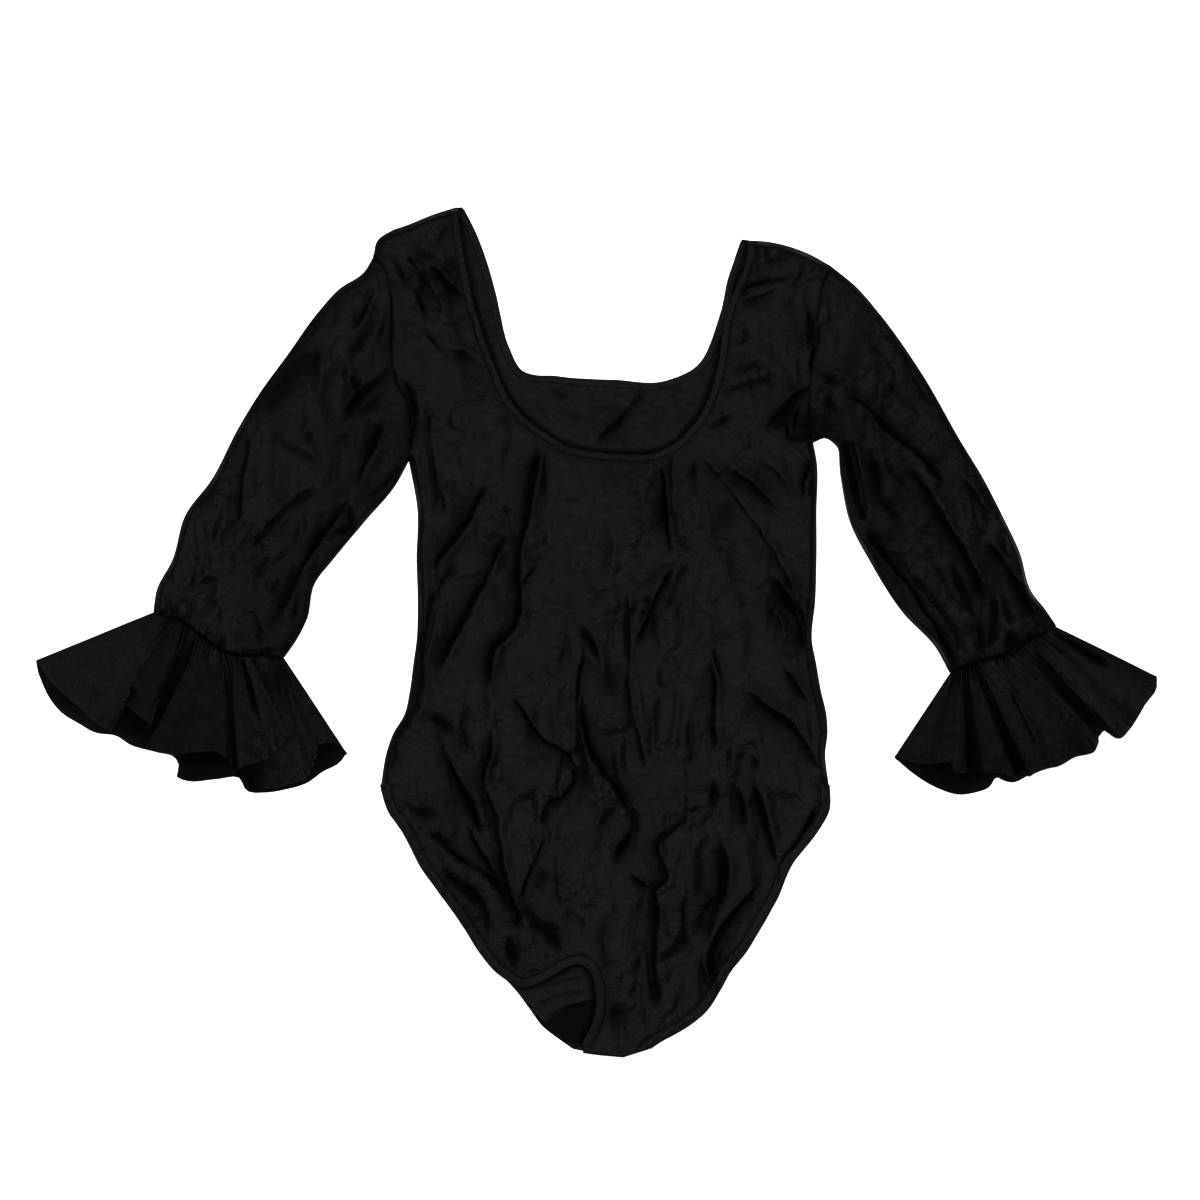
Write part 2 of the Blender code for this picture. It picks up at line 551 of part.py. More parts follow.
def turned(upper, lower, outward):
    """The point where the cloth turns at an edge, halfway down and a little further out."""
    outward = outward / np.linalg.norm(outward)
    middle = (upper + lower) / 2
    return middle + np.array([outward[0], outward[1], 0.0]) * (EDGE_INSET - WALL / 2) * 0.6


def build():
    clear_scene()
    build_back()
    build_front()
    build_gusset_lining()
    build_sleeve("right_sleeve", RIGHT_SLEEVE_OUTER, RIGHT_SLEEVE_INNER, RIGHT_ARMHOLE, RIGHT_CUFF)
    build_sleeve("left_sleeve", LEFT_SLEEVE_OUTER, LEFT_SLEEVE_INNER, LEFT_ARMHOLE, LEFT_CUFF)
    build_ruffle("right_sleeve_ruffle", RIGHT_CUFF, RIGHT_RUFFLE_HEM, RIGHT_RUFFLE_FOLDS,
                 np.array(RIGHT_RUFFLE_HEM[5]))
    build_ruffle("left_sleeve_ruffle", LEFT_CUFF, LEFT_RUFFLE_HEM, LEFT_RUFFLE_FOLDS,
                 np.array(LEFT_RUFFLE_HEM[5]))


build()
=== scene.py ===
"""Looks of a black dance leotard with ruffled sleeves, laid flat with its front up.

Each piece of cloth is a thin shell on the form of its CAD solid. The tables are in millimetres:
across from the middle of the garment, and up from the end of the crotch. Right and left are the
wearer's, so the right sleeve lies at -X.
"""

import math

import bpy
import numpy as np
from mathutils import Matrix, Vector
from mathutils.geometry import delaunay_2d_cdt
from mathutils.kdtree import KDTree


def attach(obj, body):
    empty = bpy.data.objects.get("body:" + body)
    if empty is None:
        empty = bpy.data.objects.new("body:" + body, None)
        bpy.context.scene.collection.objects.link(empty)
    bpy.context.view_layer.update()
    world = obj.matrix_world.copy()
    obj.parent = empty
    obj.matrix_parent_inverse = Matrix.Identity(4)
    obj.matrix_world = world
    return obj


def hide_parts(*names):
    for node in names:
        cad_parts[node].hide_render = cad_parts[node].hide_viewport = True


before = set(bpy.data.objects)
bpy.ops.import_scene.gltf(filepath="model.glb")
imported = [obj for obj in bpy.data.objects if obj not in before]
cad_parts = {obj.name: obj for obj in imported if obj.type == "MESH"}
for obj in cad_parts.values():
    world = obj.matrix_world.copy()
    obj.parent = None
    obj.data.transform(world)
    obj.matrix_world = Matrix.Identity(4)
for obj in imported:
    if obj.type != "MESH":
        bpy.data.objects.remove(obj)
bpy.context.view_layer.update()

# Sizes in millimetres, as in the CAD model
MM = 0.001
CROTCH_TO_MIDDLE = 383.0
PUFF = 2.0                  # how far the loose upper layer rises away from its edges
HIP_PEEK = 2.5              # how far the back shows past the front's edge at the hips
WAIST, LEG_TOP = 420.0, 245.0
NECK_BAND, LEG_BAND = 6.0, 8.0
LEG_EDGE_LIFT, LEG_EDGE_REACH = 4.0, 14.0
SLEEVE_LOFT, CUFF_LOFT, EDGE_LIFT = 4.0, 7.0, 1.0   # rise of a sleeve, its cuff, its edges
EDGE_INSET = 2.2            # how far inside a ruffle's outline its layers turn over
UPPER_LAYER = 2.1           # middle of an upper layer's wall over a flat lying one
RUFFLE_RISE = 0.8           # power with which a ruffle's folds rise toward the hem

# Sizes that only the shown cloth has
CLOTH = 0.7                 # thickness of one layer
PUFF_EDGE = 6.0             # how far in from a side seam the front reaches its full height
LOOSE_RISE = 1.8            # how much higher the loose upper layer lies than its solid
BACK_TOP = 0.75             # top of the back where it lies flat
FRONT_TOP = 2.7             # top of the front at its lowest
SEAM_TOP = 1.5              # top of the front where it meets the back at the side seams
SEAM_TURN = 4.5             # how far in from a side seam the cloth starts to turn down
SEAM_DIP, SEAM_WIDTH = 1.3, 1.4     # the groove along the armholes, the cuffs and the bands
SEAM_SHADE = 0.8            # how dark the painted shade in that groove is
CROWN_POWER = 7.0           # how flat the top of a sleeve lies between its edges
CUFF_BULGE = 1.8            # the swell of the sleeve just above its cuff
RUFFLE_DEPTH, RUFFLE_CUT = 110.0, 115.0     # from the cuff to the hem, shown and as cut
HEM_SWELL, HEM_REACH = 0.4, 1.5     # how much thicker the ruffle is at its rolled hem
UNDER_SHADE = 3.6           # how far the painted shadow of an edge reaches over the cloth below it
BAND_GAP = 0.9              # how far inside a band its groove runs
SLIT_WIDTH, SLIT_GROWTH = 0.85, 0.4     # the line of painted shade in a crease, where the cloth also dips a little, wider the higher it is
WALL, WALL_GROWTH = 0.8, 0.28       # half the width of a tuck's steep side, wider likewise
ROLL_SHARE, SLOPE_SHARE = 0.62, 0.72    # how much of a crease's height lies above and below
SLOPE_SHADE = 0.42          # how dark the painted shade is on the cloth that slopes down into a crease
HOLLOW_SHADE = 0.17         # how dark the painted shade in a hollow is for each millimetre of its depth

# Spacing of the points in millimetres
FRONT_GRID, BACK_GRID, EDGE_STEP, CREASE_STEP = 2.5, 4.5, 2.2, 2.2
POINT_GAP = 0.95            # points closer than this are merged
SHOWN_BACK_GRID, LINING_GRID = 2.4, 2.2
SLEEVE_ROWS, SLEEVE_COLUMNS = 180, 108
RUFFLE_ROWS, FOLD_POINTS, UNDER_POINTS = 72, 9, 60


def knots_from(text):
    """The knots of a line, each written as its numbers: across and up, if not said otherwise."""
    return [tuple(map(float, knot.split())) for knot in text.split(",")]


def rows_from(text):
    """A row for each line on the cloth, written as its sizes, a colon and its knots."""
    rows = [row.split(":") for row in text.splitlines()]
    return [(knots_from(knots), *map(float, sizes.split())) for sizes, knots in rows]


# Outline of the body: height up, right edge and left edge for each section
SIDE_SECTIONS = knots_from("""
537 -169 198, 490 -161 198, 447 -162 198, 411 -161 197, 375 -162 194, 353 -165 198, 330 -168 202,
308 -173 207, 291 -183 208, 274 -189 206, 245 -194 209""")
LEG_SECTIONS = knots_from("""
245 -194 209, 221 -186 208, 202 -173 197, 173 -158 175, 141 -135 161, 117 -119 147, 95 -105 134,
74 -86 118, 59 -72 110, 40 -58 97, 29 -50 83, 16 -34 60, 7 -21 46""")
RIGHT_SHOULDER = knots_from("-126 765, -148 758, -170 749, -186 743, -197 735, -201 720")
LEFT_SHOULDER = knots_from("137 735, 153 734, 172 730, 191 723, 211 712")
RIGHT_ARMHOLE = knots_from("""
-201 720, -191 711, -186 690, -185 634, -180 606, -170 590, -167 569, -169 537""")
LEFT_ARMHOLE = knots_from("211 712, 202 688, 198 668, 196 638, 193 614, 191 591, 191 569, 195 553")
BACK_NECK = knots_from("""
-121 765, -105 732, -92 690, -80 641, -68 618, -35 612, 14 609, 66 609, 90 621, 110 662, 119 700,
131 736""")
FRONT_NECK = knots_from("""
-126 765, -119 717, -99 640, -69 580, -46 561, -23 548, 1 544, 30 542, 54 544, 69 551, 89 570,
108 614, 117 669, 136 722, 137 735""")
RAISED_LEG_EDGE = knots_from("""
-105 95, -86 74, -67 64, -46 70, -29 80, -15 84, -6 78, -1 60, 0 44, -4 30, -12 14""")
CROTCH = knots_from("-12 4, 3 2, 24 0, 46 7")
GUSSET_LINING = knots_from("-47 31, -29 42, -8 51, 4 50, 5 30, -3 12, -14 9, -33 19")

RIGHT_SLEEVE_OUTER = knots_from("""
-201 720, -209 707, -232 691, -251 670, -279 631, -303 598, -322 567, -347 519, -370 488,
-382 447, -396 420, -399 401""")
RIGHT_SLEEVE_INNER = knots_from("""
-169 537, -181 515, -208 483, -238 447, -254 426, -261 394, -270 376, -281 360""")
RIGHT_CUFF = knots_from("-399 401, -378 395, -359 382, -335 366, -324 363, -303 362, -281 360")
LEFT_SLEEVE_OUTER = knots_from("""
211 712, 234 693, 254 670, 293 615, 328 554, 348 521, 365 488, 381 454, 392 418, 403 404,
414 388""")
LEFT_SLEEVE_INNER = knots_from("""
195 553, 206 557, 216 550, 220 523, 229 480, 246 447, 276 400, 306 368, 318 346""")
LEFT_CUFF = knots_from("414 388, 385 373, 371 364, 342 356, 318 346")

RIGHT_RUFFLE_HEM = knots_from("""
-503 346, -492 322, -482 310, -466 300, -452 292, -432 289, -420 281, -407 277, -395 274,
-380 270, -376 262, -378 252, -371 249, -342 250, -321 251, -316 240, -298 238, -279 241,
-258 248, -248 256, -230 266, -225 274""")
LEFT_RUFFLE_HEM = knots_from("""
504 339, 497 326, 488 311, 477 295, 459 295, 445 278, 410 263, 390 254, 374 247, 366 249, 360 252,
354 243, 341 238, 327 236, 307 242, 284 256, 270 268""")
# Folds of the ruffles' upper layers: share of the cuff, hem across, hem up, height at the hem
RIGHT_RUFFLE_FOLDS = knots_from("""
0 -504 357 1, .04 -491 338 4, .08 -465 315 6.5, .12 -447 299 6.5, .145 -436 293 4,
.155 -440 305 1.2, .165 -441 320 2, .185 -427 320 6, .21 -413 309 7.5, .235 -400 297 5.5,
.25 -410 295 1.5, .262 -405 307 4, .28 -402 310 7.5, .295 -396 302 1, .33 -387 296 .4,
.37 -395 287 4, .4 -403 281 8, .43 -389 274 8.6, .46 -378 272 7.2, .49 -366 274 9, .52 -353 275 8,
.545 -341 275 9, .562 -330 266 6.5, .578 -321 253 .5, .6 -319 260 1, .63 -324 258 5.5,
.66 -314 263 7.5, .69 -301 266 7, .72 -286 276 8.6, .75 -276 292 9.6, .775 -287 284 6,
.8 -301 267 2.8, .82 -315 242 1.2, .86 -297 241 3.5, .89 -278 245 5.2, .92 -260 252 4.5,
.945 -252 267 6.5, .96 -249 281 4.5, .98 -236 282 2.5, 1 -226 274 1""")
LEFT_RUFFLE_FOLDS = knots_from("""
0 504 342 1, .05 503 331 4, .11 494 319 6, .14 487 307 5, .18 480 297 8, .22 469 287 8.6,
.26 459 293 6, .285 453 300 .5, .32 442 302 .5, .36 435 307 4.5, .39 444 296 7, .42 451 288 5,
.45 448 276 5.5, .5 429 270 8, .54 415 262 6.6, .6 405 260 8.6, .68 394 256 8.6, .735 389 253 6,
.755 386 257 .4, .775 380 256 .6, .79 378 252 6, .815 363 256 8, .84 350 256 6.8, .857 342 256 1,
.87 338 257 .4, .882 333 256 5.6, .905 320 258 7, .915 319 265 6.8, .935 307 265 6.8,
.955 300 264 5, .962 297 264 5.6, .98 283 265 4.6, 1 269 270 1""")

# Short dark gaps in a ruffle's upper layer, each a dip with painted shade in it: share of the cuff,
# width, start and stop as shares of the way to the hem, depth
RIGHT_RUFFLE_PITS = knots_from(".185 .012 .78 1.05 2.5, .7 .007 0 .62 1.8, .345 .012 0 .4 1.4")
LEFT_RUFFLE_PITS = knots_from("""
.065 .02 0 .6 3, .235 .01 .66 1.05 1.6, .6 .005 .25 .85 1, .33 .03 .55 1.05 0""")

# Creases: width, height and lean. A lean above 0 raises a roll of cloth on the line's left over
# a slope on its right; 0 is a valley between two rolls.
BODY_CREASES = rows_from("""\
5 2.2 -.5: -181 719, -176 704, -172 692
5 2.4 .5: -173 722, -161 710, -154 699, -144 681, -138 668
6 1.6 0: -163 731, -154 724, -136 720
8 4.5 .6: -154 717, -144 706, -132 693, -121 685, -116 677
7 3.8 -.5: -168 699, -162 684, -157 672, -154 662
7 2.2 0: -135 755, -139 742, -147 729
4 2.6 0: -130 726, -129 713, -125 705
6 4 -.4: -155 652, -148 645, -141 634
8 2.8 .3: -139 641, -127 634, -119 633, -110 624, -98 614
4 1.4 .5: -121 645, -109 636, -102 629
7 4 0: -180 609, -171 603, -166 587, -166 564, -168 544
8 2.4 .3: -148 591, -150 578, -150 555, -147 537, -144 519, -138 501, -135 483
4 3.2 0: -134 579, -132 570, -127 562
5 1.5 0: -107 569, -110 555, -108 546
11 4.5 .5: -95 521, -106 501, -115 483, -123 472, -137 455, -152 433
7 1.8 0: -71 559, -80 546, -84 536
10 5 .5: -50 553, -54 537, -57 519, -60 501, -63 484, -71 435, -70 418, -75 386, -92 369, \
-96 352, -97 330
5 1.6 0: -46 549, -46 528, -44 501
4 1.2 0: -82 499, -78 482
5 2.6 -.5: -51 449, -61 434, -69 417
11 5 .6: -77 475, -89 454, -99 432, -117 398, -132 371, -140 352, -142 341
7 2.2 0: -120 449, -143 418, -154 381, -163 317, -178 288, -183 251
6 3.4 -.3: 132 680, 136 692, 147 697, 165 699, 183 704
5 2.4 .3: 127 672, 138 680, 152 686, 165 690
3.5 1.4 0: 134 659, 133 647, 125 640
5 1.3 0: 113 612, 134 620, 156 626
5 1.6 0: 109 593, 117 599, 138 606, 165 614
4 1.8 0: 99 565, 111 571, 125 579
6 3.6 0: 191 679, 193 659, 194 634
6 3.6 -.3: 199 665, 198 641, 193 626, 190 615
9 5 -.6: 197 606, 183 598, 172 585, 161 574, 150 563
9 4.5 0: 190 598, 181 582, 179 564, 183 549
6 3 0: 171 580, 174 562, 179 550
8 3.6 .4: 144 544, 150 535, 161 526, 170 516, 177 507
9 3.8 .5: 116 536, 129 522, 135 519, 147 508, 156 500, 168 487
6 3.5 .5: 194 544, 190 528, 186 514, 190 500
11 5 .7: 54 540, 59 524, 61 501, 63 483, 66 461, 70 450
5 2 .3: 67 546, 67 510, 72 483, 77 460, 90 454
6 2.4 0: 89 541, 89 519, 92 503
7 2.4 .4: 93 542, 111 521, 129 497, 147 474, 162 449, 177 418, 186 393, 191 375
13 6.5 .7: 151 440, 168 418, 182 389, 189 357
5 2 0: 86 451, 75 431, 69 418, 62 403
9 3.8 -.5: 72 447, 63 431, 55 415, 45 393, 36 365
8 3.6 .5: 165 352, 180 334, 194 314
11 5 .5: 131 334, 151 317, 174 300, 191 274, 201 256
6 3 -.4: 103 374, 110 348, 117 338
7 3.4 .4: 103 357, 106 328, 105 300, 108 272
4.5 3.6 .3: -16 393, -9 381, -3 368, 3 354
6 2.2 -.3: -10 369, -17 334, -18 300, -17 262
11 5 -.6: -10 330, -13 305, -5 276, 9 254, 18 242, 24 231, 35 210
6 2.2 .3: 27 420, 30 357, 28 328, 36 294, 44 258
6 2.8 .4: -80 328, -65 309, -48 285, -25 271, -19 256
12 6.5 .5: -138 285, -128 256, -120 240, -103 199
8 4 .6: -94 297, -96 271, -102 252, -93 222, -87 189, -82 162, -66 112
8 3.6 .4: -120 213, -105 186, -87 157, -69 117
9 4.2 -.3: -156 207, -123 180, -93 159, -81 141, -67 112
8 4 0: -141 179, -135 162, -121 154, -102 132, -99 105
6 2.4 -.5: -45 204, -54 180, -66 150, -70 137
9 5.5 0: -60 141, -57 123, -42 112, -31 91
6 4.5 0: -78 111, -75 78
6 2.4 0: 12 281, 23 240, 34 215, 33 194
8 4.5 -.4: 34 212, 23 191, 13 171
8 2.6 0: 22 233, 9 215, -5 199
9 4 .3: 89 224, 69 204, 54 189, 60 171, 63 162, 51 150, 54 135, 51 99, 54 63, 57 37
6 3.4 .4: 26 166, 36 159, 49 148
5 2.8 0: 105 253, 107 236, 108 219
8 4.8 .3: 123 253, 132 222, 133 201
7 4 .4: 141 253, 153 207, 162 172
4 2.4 0: 119 282, 120 260
4 2 0: 139 271, 143 256
12 6.5 .4: 110 198, 115 173, 114 150, 105 126, 99 100
9 5.5 -.4: 148 158, 131 137, 117 121, 103 96, 105 57
8 4.2 -.3: 200 230, 187 202, 164 172
7 2.4 0: 153 238, 170 234, 188 230
5 2.4 0: 42 107, 48 81, 56 50
5 2 0: 90 89, 99 60
7 3.8 0: -4 78, 4 51, -3 28
7 3 -.3: -24 269, -20 249, -32 234, -44 228, -48 204
9 3 0: -158 310, -132 297, -116 289
5 1.6 .3: -144 409, -150 375, -155 350
6 1.4 0: 57 330, 50 303, 53 281
6 1.6 .3: 156 411, 165 393, 171 372
7 1.2 0: -33 411, -27 375, -33 339
6 1.4 0: 93 330, 84 294, 88 258
7 1.4 0: -37 177, -33 141, -6 114
7 1.6 0: 17 141, 3 105, 14 65
7 1.8 0: 84 159, 79 123, 84 87
6 2 0: 125 96, 111 65, 93 42
6 1.6 0: -114 321, -121 294, -114 267
6 1.8 0: -177 231, -159 220, -130 217""")
SLEEVE_CREASES = rows_from("""\
7 3 .4: -198 699, -202 684, -211 665, -221 650
7 3.4 0: -196 666, -209 645, -225 630
4 2 0: -190 667, -193 654, -196 644
6 3.4 0: -223 616, -216 606, -208 594
9 5 -.3: -185 626, -191 613, -204 603, -219 590, -235 566
4 2 0: -235 566, -224 567, -211 569
9 3.6 0: -189 601, -202 588, -217 580
12 6.5 .4: -188 580, -197 557, -207 535, -217 507
8 4.6 .3: -217 508, -225 496, -247 467, -265 439, -273 424, -284 401, -296 382
5 2.4 0: -171 539, -189 515, -210 500
5 3 0: -225 500, -220 480, -238 468
8 3.4 .3: -313 564, -315 537, -319 512, -322 472
5 1.6 0: -293 563, -270 547, -249 534
5 2.2 0: -249 514, -270 500, -290 480, -317 457
7 2.8 0: -291 457, -300 442, -316 430
5 2.4 0: -334 430, -351 428, -361 418
5 2.2 0: -334 496, -342 477, -346 461
5 1.8 0: -324 489, -333 469, -339 457
8 1.6 0: -259 486, -265 472, -274 457
6 3.2 0: -310 403, -303 381, -300 366
6 2.6 0: -281 431, -288 424, -293 415
5 2.8 0: -271 426, -270 401, -274 390
8 1.4 0: -240 690, -251 670, -267 654
8 1.2 0: -267 596, -261 573, -269 546
6 1.6 0: -343 461, -351 447, -357 425
7 1.8 0: -231 555, -236 528, -251 501
8 4.5 0: 199 615, 210 612, 222 608
10 5 -.4: 221 598, 243 584, 256 569, 279 551, 297 534, 315 511
6 3.4 0: 205 595, 211 587, 217 577
4 1.2 0: 198 626, 216 621, 235 617
10 4.4 0: 240 553, 252 526, 256 503, 269 490, 279 471
6 2.6 0: 254 544, 271 523, 288 511
11 6 .4: 278 537, 291 518, 304 498, 319 471, 334 446, 342 428, 353 400
10 4.5 .5: 326 527, 344 500, 360 476
11 6.5 .5: 346 470, 365 447, 379 425, 392 402, 401 388
5 4 0: 221 557, 228 531, 234 506, 242 479
4 2.6 0: 227 557, 236 526, 243 486
9 6 -.5: 238 477, 259 450, 277 428, 302 392, 319 359, 328 347
5 2 0: 263 462, 274 443, 309 405, 324 377, 335 356
7 3.4 0: 318 447, 329 418, 345 393
6 4 0: 357 419, 357 392, 349 365
5 3.6 0: 347 392, 346 361
8 5.5 0: 366 389, 378 367, 386 357
8 1.4 0: 273 641, 287 609, 305 582
7 1.2 0: 237 654, 255 636, 273 605
6 1.8 0: 296 465, 309 434, 332 402
6 2.2 0: 363 420, 372 400, 374 384
7 1.4 0: 255 609, 273 596, 296 569""")
BACK_CREASES = rows_from("""\
4 1.2 0: -6 584, 8 585, 25 587
8 4.2 .5: -5 552, 5 558, 14 566, 28 582, 39 596, 49 606
4 1.8 0: -43 605, -33 598, -21 599
4 .9 0: -27 588, -17 578, -6 573
6 1.0 0: 39 564, 57 578, 68 593
5 1.0 0: -60 593, -46 580, -40 566
5 1.0 0: 93 602, 86 590, 75 579
2.6 .9 0: -112 695, -102 697
2.6 .9 0: -110 684, -99 685
2.6 .9 0: -108 673, -96 675
2.6 .9 0: -105 663, -93 665
2.6 .9 0: -101 652, -90 654
3 1.2 0: -117 735, -107 726
3 1.2 0: -114 721, -103 716
3 1.0 .4: -82 65, -51 73, -11 86
3 1.0 .4: -69 56, -42 65, -6 74
3 1.0 .4: -55 46, -33 55, -4 60
3.5 1.6 .5: -51 33, -28 44, -4 50""")
# Soft hollows, with painted shade by their depth, and the low ridges left by storage folds: width,
# and depth below the cloth
HOLLOWS = rows_from("""\
9 4.5: 152 564, 172 580, 190 591
9 4.5: 186 549, 190 570, 191 590
10 2.2: 117 512, 117 490, 122 471
10 2.4: 12 364, 13 339, 14 314
8 2.2: -50 172, -53 148
9 2.6: 18 53, 19 21
12 2.8: -236 633, -254 631, -270 618, -285 603, -295 590, -304 568
4.5 2.8: -259 565, -256 552
12 1.8: -237 563, -225 544
10 2: -234 518, -224 499
6 2: -312 402, -311 397
8 2: 243 584, 245 564
10 3: 198 578, 212 557
16 1.6: -135 258, -114 204
16 1.8: 111 177, 104 141
16 1.6: 174 411, 189 366
12 2.4: 174 569, 185 551
12 1.4: 354 501, 363 483
12 1.6: 386 411, 395 395
14 1.4: -118 420, -134 375
12 1.4: -136 290, -150 296
10 1.4: -267 447, -280 411""")
PRESS_LINES = rows_from("""\
2.6 -.5: -49 454, -33 459, -6 463, 30 464, 64 459
2.6 -.5: 39 229, 75 234, 113 240
2.6 -.5: -52 143, -15 148, 18 150
2.6 -.35: -82 321, -69 322, -46 320""")


# Curves and distances on the plan

def curve_at(knots, places, at):
    """Points of a smooth curve through knots that stand at given places along it."""
    slope = np.gradient(knots, places, axis=0)
    leg = np.clip(np.searchsorted(places, at, side="right") - 1, 0, len(knots) - 2)
    span = (places[leg + 1] - places[leg])[:, None]
    s = (at - places[leg])[:, None] / span
    return ((2 * s**3 - 3 * s**2 + 1) * knots[leg] + (s**3 - 2 * s**2 + s) * span * slope[leg]
            + (3 * s**2 - 2 * s**3) * knots[leg + 1] + (s**3 - s**2) * span * slope[leg + 1])


def chord_places(knots):
    """How far along each knot stands, measured straight from knot to knot."""
    return np.append(0.0, np.cumsum(np.linalg.norm(np.diff(knots, axis=0), axis=1)))


def through(knots, shares):
    """Points on a smooth curve through the knots, at shares 0 to 1 of its length."""
    knots = np.asarray(knots, float)
    places = chord_places(knots)
    return curve_at(knots, places, np.asarray(shares, float) * places[-1])


def evenly(knots, step):
    """The same curve with points about a step apart."""
    length = chord_places(np.asarray(knots, float))[-1]
    return through(knots, np.linspace(0.0, 1.0, max(2, round(length / step)) + 1))


def nearest(points, line, block=4096):
    """Distance of each point to the line, signed + on its left, and the share along it."""
    start, leg = line[:-1], np.diff(line, axis=0)
    length = np.linalg.norm(leg, axis=1)
    passed = np.append(0.0, np.cumsum(length))
    sides, shares = [], []
    for first in range(0, len(points), block):
        to = points[first:first + block, None, :] - start[None, :, :]
        share = np.clip((to * leg).sum(axis=2) / length**2, 0.0, 1.0)
        gap = np.linalg.norm(to - share[:, :, None] * leg, axis=2)
        best = gap.argmin(axis=1)
        row = np.arange(len(best))
        turn = leg[best, 0] * to[row, best, 1] - leg[best, 1] * to[row, best, 0]
        sides.append(gap[row, best] * np.where(turn >= 0, 1.0, -1.0))
        shares.append((passed[best] + share[row, best] * length[best]) / passed[-1])
    return np.concatenate(sides), np.concatenate(shares)


def inside(points, loop, block=4096):
    """Which points lie inside a closed outline."""
    ax, ay = loop[:, 0], loop[:, 1]
    bx, by = np.roll(ax, -1), np.roll(ay, -1)
    found = []
    for first in range(0, len(points), block):
        x, y = points[first:first + block, :1], points[first:first + block, 1:]
        spans = (ay > y) != (by > y)
        with np.errstate(divide="ignore", invalid="ignore"):
            cut = ax + (y - ay) * (bx - ax) / (by - ay)
        found.append(((spans & (x < cut)).sum(axis=1) % 2) == 1)
    return np.concatenate(found)


def smooth(value):
    value = np.clip(value, 0.0, 1.0)
    return value * value * (3.0 - 2.0 * value)


def round_over(value):
    """Rises from 0 to 1 as a quarter of an ellipse does."""
    return np.sqrt(1.0 - (1.0 - np.clip(value, 0.0, 1.0))**2)


def inner_line(edge, width):
    """A line inside an edge, which has the cloth on its left."""
    along = np.gradient(edge, axis=0)
    along /= np.linalg.norm(along, axis=1)[:, None]
    return edge + np.asarray(width).reshape(-1, 1) * np.stack([-along[:, 1], along[:, 0]], axis=1)


def shifted(line, toward, distance):
    """A line moved squarely off itself, to the side on which a place lies."""
    moved, other = inner_line(line, distance), inner_line(line, -distance)
    off = [np.linalg.norm(side - toward, axis=1).sum() for side in (moved, other)]
    return moved if off[0] < off[1] else other


# Unevenness of cloth

def noise(points, size, seed, lattice=96):
    """Smooth noise from -1 to 1 over a plan, its features about a size across."""
    table = np.random.default_rng(seed).uniform(-1.0, 1.0, (lattice, lattice))
    turn = np.array(((0.83, -0.56), (0.56, 0.83)))
    spot = points @ turn / size + 40.0
    cell = np.floor(spot).astype(int)
    s = spot - cell
    s = s**3 * (s * (s * 6 - 15) + 10)
    a, b = cell[:, 0] % lattice, cell[:, 1] % lattice
    c, d = (a + 1) % lattice, (b + 1) % lattice
    low = table[a, b] * (1 - s[:, 0]) + table[c, b] * s[:, 0]
    high = table[a, d] * (1 - s[:, 0]) + table[c, d] * s[:, 0]
    return low * (1 - s[:, 1]) + high * s[:, 1]


def drift(points):
    """How far creases wander off their drawn lines."""
    return np.stack([0.9 * noise(points, 17, seed) + 0.45 * noise(points, 7, seed + 10)
                     for seed in (1, 2)], axis=1)


def undrifted(points):
    """Where the drawn points show once the creases have wandered."""
    spots = points.copy()
    for _ in range(3):
        spots = points - drift(spots)
    return spots


def crease_profile(side, width, lean, wall):
    """Height across a crease of height 1: a tuck as far as it leans, otherwise a valley."""
    away = np.abs(side)
    slope = -SLOPE_SHARE * (0.35 * np.exp(-away / (0.4 * width))
                            + 0.65 * np.exp(-(away / (1.5 * width))**1.3))
    toward = side if lean >= 0 else -side
    step = 0.5 * (1.0 + np.tanh(toward / wall))
    tuck = step * ROLL_SHARE * np.exp(-(away / (0.9 * width))**1.6) + (1.0 - step) * slope
    rolls = 0.55 * ROLL_SHARE * (1.0 - np.exp(-(away / (0.6 * width))**2))
    valley = rolls * np.exp(-(away / (1.7 * width))**2) + 1.1 * slope
    share = min(1.0, abs(lean) * 2.2)
    return share * tuck + (1.0 - share) * valley


def beside(points, knots, reach):
    """Which points lie near a line, their side of it, and how fully they lie between its ends."""
    line = evenly(knots, 4.0)
    low, high = line.min(axis=0) - 3.2 * reach, line.max(axis=0) + 3.2 * reach
    near = np.flatnonzero(((points > low) & (points < high)).all(axis=1))
    if not len(near):
        return near, np.zeros(0), np.zeros(0), np.zeros(0)
    side, share = nearest(points[near], line)
    length = chord_places(line)[-1]
    fade = min(2.8 * reach, 0.48 * length)
    strength = 0.55 + 0.45 * smooth(length / (5.0 * reach))
    return near, side, share * length, (strength * smooth(share * length / fade)
                                        * smooth((1.0 - share) * length / fade))


